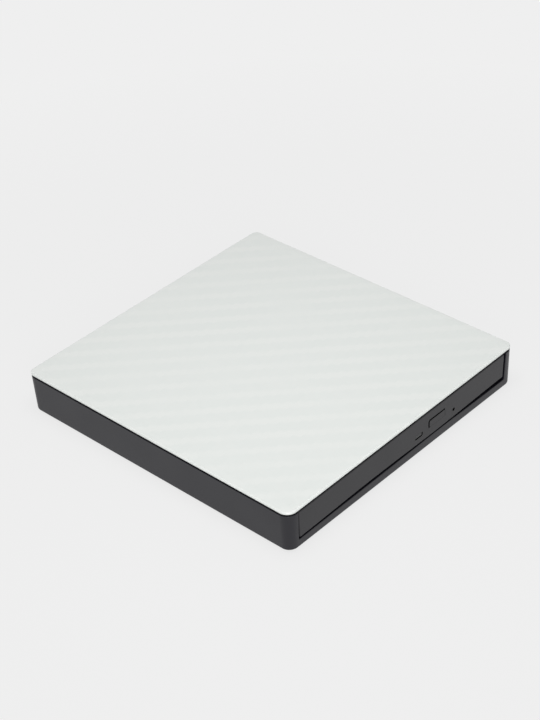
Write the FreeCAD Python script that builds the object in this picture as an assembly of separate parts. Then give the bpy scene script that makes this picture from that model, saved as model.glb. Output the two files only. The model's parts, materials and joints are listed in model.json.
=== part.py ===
import FreeCAD, Part
import math
import os

V = FreeCAD.Vector
UP = V(0, 0, 1)

# A slim external disc drive that stands flat on a table.
# Millimetres. X runs from the device's left to its right, the tray comes out towards -Y,
# Z is up. The origin is under the middle of the case, at the level of the feet.
# The disc decides the tray, the tray the drive's chassis, and the chassis the case.

# Disc and the well it lies in
disc_radius = 60.0
well_clearance = 0.8
well_front_wall = 1.9
well_rear_wall = 2.5
rim_wall = 1.7
rim_height = 3.5
rim_headroom = 1.4
scoop_radius = 9.0

# Tray
tray_side_gap = 0.35
tray_rear_gap = 0.4
tray_corner_radius = 2.0
tray_clear_of_case = 1.55
tray_skin = 1.2
deck_clearance = 5.0
deck_thickness = 1.2
hook_reach = 45.0
hook_width = 12.0
hook_height = 2.0

# Drive chassis
pan_thickness = 0.6
cover_thickness = 0.5
sheet_gap = 0.05
cover_skirt = 4.5
cover_ring_radius = 50.0
cover_ring_width = 3.0
cover_ring_depth = 0.2
chassis_gap = 0.15
cover_screw_radius = 0.8
cover_screw_head = 1.6
cover_screw_head_height = 0.5
cover_screw_drop = 2.1
cover_screw_front = 20.0
cover_screw_rear = 12.0

# Telescopic rails on both sides of the tray
guide_front = 8.0
guide_rear = 9.5
guide_wall = 0.8
guide_flange = 0.7
guide_reach = 3.25
guide_top_gap = 0.15
rail_sheet = 0.5
rail_reach = 2.95
rail_gap = 0.1
tongue_reach = 3.75
web_thickness = 1.1
tongue_front_gap = 1.5

# Case
pillar_left = 5.55
pillar_right = 7.15
lip_height = 4.3
rear_room = 14.7
wall_thickness = 2.0
floor_thickness = 1.6
case_corner_radius = 4.8
case_draft = 0.5
case_edge_radius = 1.0
foot_height = 0.8
foot_radius = 4.5
foot_recess = 0.4
foot_inset = 13.0
mould_clearance = 0.1
press_gap = 0.02
narrow_gap = 0.05

# Lid
panel_thickness = 1.2
panel_inset = 0.3
panel_edge_radius = 0.8
liner_thickness = 0.6
liner_inset = 0.5
liner_rib_height = 1.2
liner_rib_thickness = 1.0
liner_rib_gap = 0.15
liner_mouth_margin = 1.0
liner_mouth_depth = 3.0

# Case screws, driven from below into the lid
screw_shank_radius = 0.7
screw_head_radius = 1.2
screw_head_height = 0.8
screw_slot_width = 0.4
screw_slot_depth = 0.35
screw_length = 8.0
screw_seat_depth = 3.0
screw_hole_clearance = 0.1
screw_thread_gap = 0.02
screw_tip_gap = 0.5
case_boss_radius = 1.9
case_boss_height = 4.6
lid_boss_radius = 1.7
front_screw_y = 9.0
rear_screw_y = 8.0

# Tray bezel and the seams round it in the mouth of the case
bezel_overlap = 0.25
bezel_drop = 0.3
bezel_thickness = 3.5
bezel_wall = 1.6
bezel_rim = 1.2
bezel_corner_radius = 0.8
bezel_edge_radius = 0.45
bezel_setback = 0.25
seam_left = 0.3
seam_right = 0.5
seam_top = 0.2
seam_bottom = 0.5

# Controls on the bezel, placed from its right end and its lower edge
button_from_right = 44.6
button_width = 10.5
button_height = 3.9
button_rise = 4.7
button_proud = 0.25
button_gap = 0.15
button_edge_radius = 0.3
button_travel = 0.6
button_flange = 0.6
button_flange_thickness = 0.7
button_stem_radius = 0.9
stem_setback = 0.15
lamp_from_right = 56.45
lamp_width = 4.0
lamp_height = 1.1
lamp_rise = 4.05
lamp_recess = 0.3
lamp_stop = 0.5
lamp_stop_thickness = 0.6
lamp_back_gap = 0.35
pinhole_from_right = 33.45
pinhole_rise = 4.35
pinhole_radius = 0.6

# Disc drive unit, hung diagonally under the tray
traverse_angle = 225.0
corner_gap = 1.45
frame_drop = 0.8
frame_thickness = 0.8
frame_rear = 26.0
frame_rim = 2.4
frame_side = 6.5
frame_corner_rim = 2.2
frame_tab_overlap = 0.5
frame_notch_end = 3.0
window_gap = 0.6
window_corner_gap = 0.8
opening_margin = 1.0
opening_side_margin = 3.0
unit_cover_gap = 0.6
unit_cover_thickness = 0.4
unit_cover_drop = 0.4
slant_factor = 1.5
slot_half_width = 7.0
under_clearance = 0.9

# Spindle
stator_radius = 13.8
stator_gap = 0.4
stator_plate = 0.5
stator_core_radius = 11.0
stator_core_height = 2.3
stator_tube_radius = 3.0
stator_tube_height = 3.1
leg_gap = 0.2
leg_radial = 2.0
leg_width = 4.0
spindle_shaft_radius = 1.5
spindle_shaft_seat = 0.2
running_gap = 0.04
rotor_gap = 0.4
rotor_radius = 12.6
rotor_wall = 0.7
rotor_roof = 0.6
turntable_radius = 14.7
turntable_lift = 0.2
turntable_thickness = 0.7
turntable_hole_gap = 1.5
pad_width = 4.0
pad_inset = 0.2
pad_thickness = 0.4
hub_radius = 7.3
hub_height = 2.3
hub_edge_radius = 0.5
hub_shaft_height = 1.4
claw_count = 3
claw_width = 2.2
claw_height = 0.9
claw_inner = 3.9
claw_reach = 0.4
claw_slope = 0.5
claw_travel = 0.4
claw_gap = 0.1
claw_lift = 0.9

# Pickup and its drive
lens_inner = 24.0
disc_edge = 2.0
pickup_inner = 8.0
pickup_outer = 7.0
pickup_half_width = 17.0
shaft_radius = 1.0
shaft_inset = 2.5
shaft_drop = 0.1
holder_half_width = 1.9
holder_length = 2.6
holder_gap = 0.2
holder_end_wall = 0.4
holder_front_gap = 0.6
screw_reach = 3.5
screw_drop = 0.3
lead_screw_radius = 0.9
lead_journal_radius = 0.6
nut_length = 5.0
nut_wall = 0.8
nut_floor = 0.45
stepper_length = 12.0
stepper_radius = 3.2
stepper_half_height = 1.75
stepper_front = -12.0
stepper_gap = 0.4
bracket_thickness = 0.8
bearing_length = 1.8
bearing_half_width = 1.6
bearing_gap = 0.6
bearing_cap = 0.25
bearing_drop = 0.2
lens_carrier_length = 10.0
lens_carrier_width = 12.0
lens_carrier_height = 1.6
lens_carrier_gap = 0.4
lens_carrier_drop = 0.1
lens_focus_travel = 0.4
lens_radius = 2.2
lens_seat = 0.5
lens_rim_drop = 0.3
lens_rise = 0.6

# Rubber dampers that carry the disc drive unit
damper_reach = 3.0
damper_rear_reach = 4.0
damper_right_from_edge = 28.0
damper_left_from_edge = 18.0
damper_radius = 3.2
damper_neck = 2.0
damper_flange = 0.7
damper_gap = 0.05
damper_bore = 0.9
damper_screw_radius = 0.75
damper_screw_head = 2.2
damper_screw_head_height = 0.7
damper_screw_depth = 0.9
ear_radius = 4.4

# Boards under the tray
board_thickness = 0.8
tray_board_drop = 1.5
tray_board_depth = 21.0
tray_board_rear_gap = 1.75
tray_board_step_gap = 1.5
tray_board_left_gap = 16.5
tray_board_right_gap = 2.7
board_pin_side = 4.0
board_pin_flex_gap = 8.0
board_pin_rear_reach = 20.0
post_radius = 1.5
pin_radius = 0.6
pin_hole_gap = 0.1
pin_length = 1.0
pin_inset = 3.0
switch_board_drop = 2.1
switch_board_left_gap = 3.9
switch_board_right_gap = 11.25
switch_board_front_gap = 0.15
switch_board_depth = 8.0
switch_pin_inset = 2.0
switch_pin_from_front = 5.75
switch_width = 5.0
switch_depth = 2.8
switch_pocket_gap = 0.25
switch_gap = 0.05
switch_nub = 0.5
switch_nub_radius = 0.8
switch_cap = 1.6
lamp_body_width = 2.2
lamp_body_depth = 1.4
lamp_body_rise = 0.2

# Chips under the tray board: distance from its right end, from its front, width, depth, height
chip_sizes = (
    (58.0, 5.0, 14.0, 14.0, 1.2),
    (38.0, 6.5, 8.0, 8.0, 1.0),
    (21.0, 2.0, 10.0, 10.0, 1.4),
    (20.0, 14.0, 6.0, 4.0, 0.8),
)
flex_socket_inset = 1.5
flex_socket_depth = 4.0
flex_socket_margin = 0.5

# Latch
post_inset = 13.6
post_from_front = 13.25
post_pin_radius = 1.2
post_height = 2.4
latch_pivot_offset = 5.0
latch_pivot_from_front = 6.25
latch_pin_radius = 1.2
latch_plate = 1.2
latch_lift = 1.1
latch_hub_radius = 2.4
latch_arm_width = 2.0
latch_arm_offset = 1.1
latch_arm_length = 12.6
latch_nose_reach = 3.2
latch_nose_depth = 2.2
latch_nose_tip = 1.2
latch_nose_root = 0.5
latch_tail_length = 7.5
latch_tail_root = (-1.2, 1.6)
latch_tail_tip = (2.6, 4.6)
solenoid_gap = 10.0
solenoid_width = 11.0
solenoid_from_front = 8.85
solenoid_depth = 10.0
solenoid_top_gap = 0.2
solenoid_pin_radius = 0.6
solenoid_pin_length = 1.2
solenoid_pin_from_front = 1.6

# Fixed board, its plug and the flex cable in the pan's rear left corner
plug_inset = 1.5
plug_width = 29.5
notch_side_gap = 0.5
notch_depth = 8.25
fixed_board_thickness = 0.6
fixed_board_gap = 0.25
plug_height = 4.5
plug_depth = 6.6
plug_wall = 0.8
plug_mouth = 4.0
plug_tongue = 1.0
plug_tongue_inset = 1.0
plug_tongue_setback = 0.6
mating_gap = 0.1
socket_depth = 5.5
flex_inset = 17.0
flex_width = 12.0
flex_thickness = 0.12
flex_lift = 0.03
flex_fold_radius = 0.24
flex_clamp_height = 1.2
flex_clamp_depth = 2.6
flex_clamp_margin = 1.0
flex_slot_lift = 0.25
flex_slot_room = 0.03
flex_tail = 1.5
flex_grip = 1.6
flex_slope_start = 0.3
flex_slope_end = 3.0
flex_fold_offset = 3.0
flex_reach = 4.5
flex_fold_steps = 8

# Ejector in the pan's rear right corner
ejector_inset = 10.5
ejector_height = 3.1
ejector_slot_half = 5.3
ejector_slot_length = 18.75
ejector_tip_gap = 0.3
ejector_rod_radius = 1.6
ejector_collar_radius = 2.6
ejector_collar_thickness = 1.0
ejector_collar_gap = 0.6
ejector_stroke = 10.0
ejector_bracket = 0.8
ejector_bracket_gap = 3.6
ejector_bracket_half = 3.6
ejector_bracket_top = 2.9
ejector_stub_radius = 1.1
ejector_stub_length = 1.8
spring_wire = 0.4
spring_radius = 1.9
spring_turns = 4

# Bridge board behind the drive, and the inlet in the rear wall
bridge_step = 0.3
bridge_margin = 0.1
bridge_width = 50.0
bridge_front_gap = 1.7
bridge_rear_gap = 0.4
bridge_thickness = 1.0
bridge_pin_rise = 0.4
bridge_pin_left = 26.0
bridge_pin_right = 3.0
bridge_pin_stagger = 3.0
inlet_from_right = 8.0
inlet_width = 8.94
inlet_height = 3.26
inlet_length = 7.9
inlet_shell = 0.3
inlet_back = 1.0
inlet_setback = 0.7
inlet_hole_gap = 0.3
inlet_tongue_width = 6.7
inlet_tongue_thickness = 0.7
inlet_tongue_length = 4.5
inlet_root_length = 1.2
inlet_root_half = 0.9

# Parts on the bridge board: distance from its left end, from its front, width, depth, height
bridge_parts = (
    (32.0, 7.6, 4.6, 4.6, 0.9),
    (18.0, 7.6, 3.2, 2.5, 0.8),
    (10.0, 7.2, 4.0, 4.0, 1.8),
)
capacitor_count = 5
capacitor_pitch = 2.0
capacitor_width = 1.0
capacitor_depth = 1.6
capacitor_height = 0.8
capacitor_inset = 0.8
capacitor_from_right = 16.0

# Ribs that carry and locate the drive in the case
cradle_half_gauge = 45.0
cradle_rib = 2.0
cradle_front_gap = 8.0
cradle_rear_gap = 5.3
stop_half_gauge = 30.0
stop_height = 11.6
rear_stop_places = (20.0, 50.0)
rear_stop_height = 9.6
root_depth = 0.5

# Sizes that follow, from the disc outwards
well_radius = disc_radius + well_clearance
tray_half = well_radius + rim_wall
tray_length = well_front_wall + 2 * well_radius + well_rear_wall
pan_inner = tray_half + tray_side_gap
pan_half = pan_inner + pan_thickness
chassis_half = pan_half + sheet_gap + cover_thickness
bezel_half = chassis_half + bezel_overlap
case_width = pillar_left + seam_left + 2 * bezel_half + seam_right + pillar_right
half_width = case_width / 2
inner_x = half_width - wall_thickness
drive_x = -half_width + pillar_left + seam_left + bezel_half
mouth_left = -half_width + pillar_left
mouth_right = half_width - pillar_right

# Places along Y, from the case's front to its rear
chassis_depth = tray_length + tray_rear_gap + pan_thickness + cover_thickness
case_depth = bezel_setback + bezel_thickness + sheet_gap + chassis_depth + rear_room + wall_thickness
half_depth = case_depth / 2
inner_y = half_depth - wall_thickness
bezel_front = -half_depth + bezel_setback
bezel_back = bezel_front + bezel_thickness
tray_front = bezel_back
tray_rear = tray_front + tray_length
disc_y = tray_front + well_front_wall + well_radius
tray_travel = disc_y + disc_radius + half_depth + tray_clear_of_case
pan_inner_rear = tray_rear + tray_rear_gap
pan_rear = pan_inner_rear + pan_thickness
chassis_front = bezel_back + sheet_gap
chassis_rear = pan_rear + sheet_gap + cover_thickness
guide_start = tray_front + guide_front
guide_end = tray_rear - guide_rear

# Levels, from the feet up
case_bottom = foot_height
floor_top = case_bottom + floor_thickness
lip_top = case_bottom + lip_height
bezel_bottom = lip_top + seam_bottom
chassis_bottom = bezel_bottom + bezel_drop
pan_top = chassis_bottom + pan_thickness
deck_under = pan_top + deck_clearance
deck_top = deck_under + deck_thickness
rim_top = deck_top + rim_height
pocket_top = rim_top - tray_skin
cover_under = rim_top + rim_headroom
chassis_top = cover_under + cover_thickness
bezel_top = chassis_top
liner_bottom = bezel_top + seam_top
panel_bottom = liner_bottom + liner_thickness
case_top = panel_bottom + panel_thickness

# Rails
guide_top = deck_under - guide_top_gap
rail_low = pan_top + guide_flange + rail_gap
rail_high = guide_top - guide_flange - rail_gap
rail_outer = pan_inner - guide_wall - rail_gap
rail_inner = rail_outer - rail_reach
tongue_low = rail_low + rail_sheet + rail_gap
tongue_high = rail_high - rail_sheet - rail_gap
tongue_outer = rail_outer - rail_sheet - rail_gap
web_inner = tongue_outer - tongue_reach

# Disc drive unit: the tray's corner limits how far its outlines reach
lens_outer = disc_radius - disc_edge
frame_corner_sum = web_inner * math.sqrt(2) - corner_gap
window_corner_sum = frame_corner_sum - frame_corner_rim
pickup_shoulder = lens_outer + pickup_outer + pickup_half_width + window_corner_gap - window_corner_sum
window_start = lens_inner - pickup_inner - window_gap
window_end = lens_outer + pickup_outer + window_gap
window_half_width = pickup_half_width + window_gap
shaft_offset = pickup_half_width - shaft_inset
screw_offset = pickup_half_width + screw_reach
frame_front = window_end + frame_rim
frame_half_width = screw_offset + frame_side
opening_rear = frame_rear - 2 * opening_margin
opening_front = frame_front - opening_margin
opening_half_width = frame_half_width - opening_side_margin
opening_corner_sum = frame_corner_sum - opening_margin
slot_end = lens_outer + lens_carrier_length / 2 + window_gap
damper_side = frame_half_width + damper_reach
damper_places = (
    (lens_outer - damper_right_from_edge, damper_side),
    (lens_outer - damper_left_from_edge, -damper_side),
    (-frame_rear - damper_rear_reach, 0.0),
)
stator_hole = stator_radius + stator_gap
turntable_hole = turntable_radius + turntable_hole_gap

under_low = pan_top + under_clearance
frame_top = deck_under - frame_drop
frame_under = frame_top - frame_thickness
shaft_z = frame_under - shaft_drop - shaft_radius
screw_z = shaft_z - screw_drop
pickup_top = deck_under - mould_clearance
unit_cover_top = deck_top - unit_cover_drop
plate_top = under_low + stator_plate
turntable_under = deck_top + turntable_lift
turntable_top = turntable_under + turntable_thickness
pad_top = turntable_top + pad_thickness
hub_top = turntable_top + hub_height

# Fixed board, ejector and latch, in drive coordinates
plug_left = -tray_half + plug_inset
plug_right = plug_left + plug_width
notch_right = plug_right + notch_side_gap
fixed_board_top = pan_top + fixed_board_thickness
flex_left = plug_left + flex_inset
flex_right = flex_left + flex_width
ejector_x = tray_half - ejector_inset
ejector_z = pan_top + ejector_height
post_x = tray_half - post_inset
latch_pivot_x = post_x - latch_pivot_offset
latch_pivot_y = tray_front + latch_pivot_from_front
solenoid_right = latch_pivot_x - solenoid_gap
solenoid_left = solenoid_right - solenoid_width

# Boards under the tray, in drive coordinates, and the controls, in the case's
tray_board_top = deck_under - tray_board_drop
tray_board_under = tray_board_top - board_thickness
tray_board_rear = tray_rear - tray_board_rear_gap
tray_board_front = tray_board_rear - tray_board_depth
tray_board_left = -tray_half + tray_board_left_gap
tray_board_right = ejector_x - ejector_slot_half - tray_board_right_gap
tray_board_step = notch_right + tray_board_step_gap
tray_board_step_y = tray_rear - notch_depth - 1.0
switch_board_top = deck_under - switch_board_drop
switch_board_under = switch_board_top - board_thickness
button_x = drive_x + bezel_half - button_from_right
button_z = bezel_bottom + button_rise + button_height / 2
lamp_x = drive_x + bezel_half - lamp_from_right
lamp_z = bezel_bottom + lamp_rise + lamp_height / 2
pinhole_x = drive_x + bezel_half - pinhole_from_right
pinhole_z = bezel_bottom + pinhole_rise
switch_board_left = lamp_x - switch_board_left_gap
switch_board_right = button_x + switch_board_right_gap

# Bridge board and inlet
bridge_top = fixed_board_top + bridge_step
bridge_under = bridge_top - bridge_thickness
bridge_left = drive_x + plug_left - bridge_margin
bridge_right = bridge_left + bridge_width
bridge_front = chassis_rear + bridge_front_gap
inlet_x = bridge_right - inlet_from_right
inlet_z = bridge_top + inlet_height / 2


# Shapes that many pieces share


def box(x0, y0, z0, x1, y1, z1):
    """A block between two opposite corners."""
    return Part.makeBox(x1 - x0, y1 - y0, z1 - z0, V(x0, y0, z0))


def disc(radius, z0, z1, x=0.0, y=0.0):
    """An upright cylinder."""
    return Part.makeCylinder(radius, z1 - z0, V(x, y, z0), UP)


def rod_x(radius, x0, x1, y, z):
    """A cylinder along X."""
    return Part.makeCylinder(radius, x1 - x0, V(x0, y, z), V(1, 0, 0))


def rod_y(radius, y0, y1, x, z):
    """A cylinder along Y."""
    return Part.makeCylinder(radius, y1 - y0, V(x, y0, z), V(0, 1, 0))


def prism(points, z0, z1):
    """An upright prism over a polygon of (x, y) points."""
    corners = [V(x, y, z0) for x, y in points]
    outline = Part.makePolygon(corners + corners[:1])
    return Part.Face(outline).extrude(V(0, 0, z1 - z0))


def rounded_outline(half_x, half_y, radius, z):
    """A closed wire round a rectangle with round corners."""
    edges = []
    corners = ((1, 1, 0), (-1, 1, 90), (-1, -1, 180), (1, -1, 270))
    previous = V(half_x, -half_y + radius, z)
    for sign_x, sign_y, start in corners:
        centre = V(sign_x * (half_x - radius), sign_y * (half_y - radius), z)
        arc = Part.makeCircle(radius, centre, UP, start, start + 90)
        edges.append(Part.makeLine(previous, arc.Vertexes[0].Point))
        edges.append(arc)
        previous = arc.Vertexes[-1].Point
    return Part.Wire(edges)


def rounded_plate(half_x, half_y, radius, z0, z1):
    """A plate about the Z axis with round corners."""
    face = Part.Face(rounded_outline(half_x, half_y, radius, z0))
    return face.extrude(V(0, 0, z1 - z0))


def level_edges(shape, z):
    """The edges of a shape that lie all at one height."""
    found = []
    for edge in shape.Edges:
        limits = edge.BoundBox
        if abs(limits.ZMin - z) < 1e-4 and abs(limits.ZMax - z) < 1e-4:
            found.append(edge)
    return found


def front_edges(shape, y):
    """The edges of a shape that lie all in one plane across Y."""
    found = []
    for edge in shape.Edges:
        limits = edge.BoundBox
        if abs(limits.YMin - y) < 1e-4 and abs(limits.YMax - y) < 1e-4:
            found.append(edge)
    return found


def joined(shapes):
    """One solid out of pieces that touch or overlap."""
    whole = shapes[0].multiFuse(shapes[1:])
    return whole.removeSplitter()


def on_drive(shape):
    """A shape drawn about the middle of the drive, moved to where the drive lies."""
    shape.translate(V(drive_x, 0, 0))
    return shape


def on_unit(shape):
    """A shape drawn about the spindle with the pickup's path along +X, put under the tray."""
    shape.rotate(V(0, 0, 0), UP, traverse_angle)
    shape.translate(V(drive_x, disc_y, 0))
    return shape


def save(name, shape):
    """Write one piece to its file."""
    if not shape.isValid():
        print("not valid:", name)
    print(name, len(shape.Solids), round(shape.Volume, 1))
    shape.exportStep("parts/" + name + ".step")


# Case


def screw_places():
    """Where the four case screws stand, beside the drive at the front and behind it."""
    left = drive_x - chassis_half - chassis_gap - case_boss_radius
    right = drive_x + chassis_half + chassis_gap + case_boss_radius
    front = -half_depth + front_screw_y
    rear = half_depth - rear_screw_y
    return [(left, front), (right, front), (left, rear), (right, rear)]


def foot_places():
    """The feet by name, one near each corner."""
    x = half_width - foot_inset
    y = half_depth - foot_inset
    return {
        "foot_front_left": (-x, -y),
        "foot_front_right": (x, -y),
        "foot_rear_left": (-x, y),
        "foot_rear_right": (x, y),
    }


def oblong_y(width, height, y0, y1, x, z):
    """A bar along Y with a section that is round at both ends."""
    radius = height / 2
    reach = width / 2 - radius
    middle = box(x - reach, y0, z - radius, x + reach, y1, z + radius)
    ends = [rod_y(radius, y0, y1, x - reach, z), rod_y(radius, y0, y1, x + reach, z)]
    return joined([middle] + ends)


def bridge_pins():
    """Where two pins hold the bridge board."""
    y = (bridge_front + inner_y) / 2
    return [
        (bridge_left + bridge_pin_left, y + bridge_pin_stagger),
        (bridge_right - bridge_pin_right, y - bridge_pin_stagger),
    ]


def make_lower_case():
    """The tub: drafted walls, the mouth for the tray, ribs, bosses and recesses."""
    foot_outline = rounded_outline(
        half_width - case_draft, half_depth - case_draft, case_corner_radius - case_draft, case_bottom
    )
    top_outline = rounded_outline(half_width, half_depth, case_corner_radius, liner_bottom)
    outer = Part.makeLoft([foot_outline, top_outline], True, True)
    outer = outer.makeFillet(case_edge_radius, level_edges(outer, case_bottom))
    inner_radius = case_corner_radius - wall_thickness
    tub = outer.cut(rounded_plate(inner_x, inner_y, inner_radius, floor_top, liner_bottom + 1))
    mouth = box(mouth_left, -half_depth - 1, lip_top, mouth_right, -inner_y + 0.01, liner_bottom + 1)
    tub = tub.cut(mouth)

    root = floor_top - root_depth
    ribs = []
    for side in (-1, 1):
        x = drive_x + side * cradle_half_gauge - cradle_rib / 2
        front = -half_depth + cradle_front_gap
        rear = chassis_rear - cradle_rear_gap
        ribs.append(box(x, front, root, x + cradle_rib, rear, chassis_bottom))
    left_face = drive_x - chassis_half - chassis_gap
    right_face = drive_x + chassis_half + chassis_gap
    stop_top = floor_top + stop_height
    for y in (-stop_half_gauge, stop_half_gauge):
        ribs.append(box(-inner_x - root_depth, y, root, left_face, y + cradle_rib, stop_top))
        ribs.append(box(right_face, y, root, inner_x + root_depth, y + cradle_rib, stop_top))
    rear_face = chassis_rear + chassis_gap
    rear_stop_top = floor_top + rear_stop_height
    for x in rear_stop_places:
        ribs.append(box(x, rear_face, root, x + cradle_rib, inner_y + root_depth, rear_stop_top))
    for x, y in screw_places():
        ribs.append(disc(case_boss_radius, root, floor_top + case_boss_height, x, y))
    for x, y in bridge_pins():
        ribs.append(disc(post_radius, root, bridge_under, x, y))
        ribs.append(disc(pin_radius, bridge_under - root_depth, bridge_top + bridge_pin_rise, x, y))
    tub = tub.fuse(ribs)

    cuts = []
    below = case_bottom - 1
    seat = case_bottom + screw_seat_depth
    for x, y in screw_places():
        cuts.append(disc(screw_shank_radius + screw_hole_clearance, below, liner_bottom, x, y))
        cuts.append(disc(screw_head_radius + mould_clearance, below, seat, x, y))
    for x, y in foot_places().values():
        cuts.append(disc(foot_radius + mould_clearance, below, case_bottom + foot_recess, x, y))
    hole_width = inlet_width + 2 * inlet_hole_gap
    hole_height = inlet_height + 2 * inlet_hole_gap
    cuts.append(oblong_y(hole_width, hole_height, inner_y - 1, half_depth + 1, inlet_x, inlet_z))
    return tub.cut(cuts).removeSplitter()


def make_feet():
    """Four rubber feet stuck in recesses of the underside."""
    for name, (x, y) in foot_places().items():
        save(name, disc(foot_radius, 0, case_bottom + foot_recess, x, y))


def make_lid_liner():
    """The thin black plate under the lid panel, with its locating rib and screw bosses."""
    radius = case_corner_radius - liner_inset
    plate_x = half_width - liner_inset
    plate_y = half_depth - liner_inset
    plate = rounded_plate(plate_x, plate_y, radius, liner_bottom, panel_bottom)
    rib_x = inner_x - liner_rib_gap
    rib_y = inner_y - liner_rib_gap
    rib_radius = case_corner_radius - wall_thickness - liner_rib_gap
    low = liner_bottom - liner_rib_height
    high = liner_bottom + 0.1
    rib = rounded_plate(rib_x, rib_y, rib_radius, low, high)
    thick = liner_rib_thickness
    rib = rib.cut(rounded_plate(rib_x - thick, rib_y - thick, rib_radius - thick, low - 1, high + 1))
    margin = liner_mouth_margin
    mouth_rear = -inner_y + liner_mouth_depth
    rib = rib.cut(box(mouth_left - margin, -half_depth, low - 1, mouth_right + margin, mouth_rear, high + 1))
    bosses = []
    for x, y in screw_places():
        bosses.append(disc(lid_boss_radius, floor_top + case_boss_height, high, x, y))
    lid = plate.fuse([rib] + bosses)
    cuts = []
    thread = screw_shank_radius + screw_thread_gap
    screw_tip = case_bottom + screw_seat_depth + screw_length
    for x, y in screw_places():
        cuts.append(disc(thread, floor_top, screw_tip + screw_tip_gap, x, y))
    return lid.cut(cuts).removeSplitter()


def make_top_panel():
    """The glossy lid panel with a soft top edge."""
    radius = case_corner_radius - panel_inset
    panel_x = half_width - panel_inset
    panel_y = half_depth - panel_inset
    panel = rounded_plate(panel_x, panel_y, radius, panel_bottom, case_top)
    return panel.makeFillet(panel_edge_radius, level_edges(panel, case_top))


def make_case_screws():
    """Four screws driven from below."""
    seat = case_bottom + screw_seat_depth
    head_low = seat - screw_head_height
    half = screw_slot_width / 2
    screws = []
    for x, y in screw_places():
        head = disc(screw_head_radius, head_low, seat, x, y)
        shank = disc(screw_shank_radius, seat - 0.1, seat + screw_length, x, y)
        slot = box(x - screw_head_radius, y - half, head_low, x + screw_head_radius, y + half,
                   head_low + screw_slot_depth)
        screws.append(head.fuse(shank).cut(slot).removeSplitter())
    return Part.makeCompound(screws)


# Bridge board and inlet


def make_bridge_board():
    """The small board that turns the drive's signals into the cable's."""
    rear = inner_y - bridge_rear_gap
    board = box(bridge_left, bridge_front, bridge_under, bridge_right, rear, bridge_top)
    cuts = []
    for x, y in bridge_pins():
        cuts.append(disc(pin_radius + pin_hole_gap, bridge_under - 1, bridge_top + 1, x, y))
    return board.cut(cuts)


def make_bridge_components():
    """Chip, crystal, coil and a row of capacitors on the bridge board."""
    pieces = []
    for x, y, width, depth, height in bridge_parts:
        x += bridge_left
        y += bridge_front
        pieces.append(box(x, y, bridge_top, x + width, y + depth, bridge_top + height))
    y = bridge_front + capacitor_inset
    for step in range(capacitor_count):
        x = bridge_right - capacitor_from_right + capacitor_pitch * step
        pieces.append(
            box(x, y, bridge_top, x + capacitor_width, y + capacitor_depth, bridge_top + capacitor_height)
        )
    return Part.makeCompound(pieces)


def make_usb_socket():
    """The inlet's drawn steel shell, open to the rear."""
    rear = half_depth - inlet_setback
    front = rear - inlet_length
    shell = oblong_y(inlet_width, inlet_height, front, rear, inlet_x, inlet_z)
    inner_width = inlet_width - 2 * inlet_shell
    inner_height = inlet_height - 2 * inlet_shell
    bore = oblong_y(inner_width, inner_height, front + inlet_back, rear + 1, inlet_x, inlet_z)
    return shell.cut(bore)


def make_usb_socket_tongue():
    """The contact tongue in the middle of the inlet, seated on the shell's back wall."""
    back_wall = half_depth - inlet_setback - inlet_length + inlet_back
    root_end = back_wall + inlet_root_length
    x0 = inlet_x - inlet_tongue_width / 2
    x1 = inlet_x + inlet_tongue_width / 2
    half = inlet_tongue_thickness / 2
    root = box(x0, back_wall, inlet_z - inlet_root_half, x1, root_end, inlet_z + inlet_root_half)
    tip = box(x0, root_end - 0.1, inlet_z - half, x1, root_end + inlet_tongue_length, inlet_z + half)
    return joined([root, tip])


def plug_mouth_box(gap):
    """The plug's mouth, made smaller on every side by a gap."""
    x0 = drive_x + plug_left + plug_wall + gap
    x1 = drive_x + plug_right - plug_wall - gap
    low = fixed_board_top + plug_wall + gap
    high = fixed_board_top + plug_height - plug_wall - gap
    return box(x0, chassis_rear - plug_mouth + 2 * gap, low, x1, chassis_rear + 1, high)


def plug_tongue_box(gap):
    """The contact tongue in the plug's mouth, grown on every side by a gap."""
    x0 = drive_x + plug_left + plug_wall + plug_tongue_inset - gap
    x1 = drive_x + plug_right - plug_wall - plug_tongue_inset + gap
    z = fixed_board_top + plug_height / 2
    half = plug_tongue / 2 + gap
    rear = chassis_rear - plug_tongue_setback + gap
    return box(x0, chassis_rear - plug_mouth - 0.1, z - half, x1, rear, z + half)


def make_sata_plug():
    """The drive's connector: a shell with a contact tongue, facing the rear."""
    low = fixed_board_top
    body = box(drive_x + plug_left, chassis_rear - plug_depth, low, drive_x + plug_right, chassis_rear,
               low + plug_height)
    return body.cut(plug_mouth_box(0.0)).fuse(plug_tongue_box(0.0)).removeSplitter()


def make_sata_socket():
    """The bridge board's connector: its nose fills the plug's mouth round the tongue."""
    top = fixed_board_top + plug_height
    front = chassis_rear + chassis_gap
    body = box(drive_x + plug_left, front, bridge_top, drive_x + plug_right, front + socket_depth, top)
    nose = plug_mouth_box(mating_gap)
    return body.fuse(nose).cut(plug_tongue_box(mating_gap)).removeSplitter()


# Drive chassis


def cover_screw_places():
    """Height and the two stations along Y of the cover screws."""
    z = cover_under - cover_screw_drop
    return z, (chassis_front + cover_screw_front, chassis_rear - cover_screw_rear)


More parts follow.
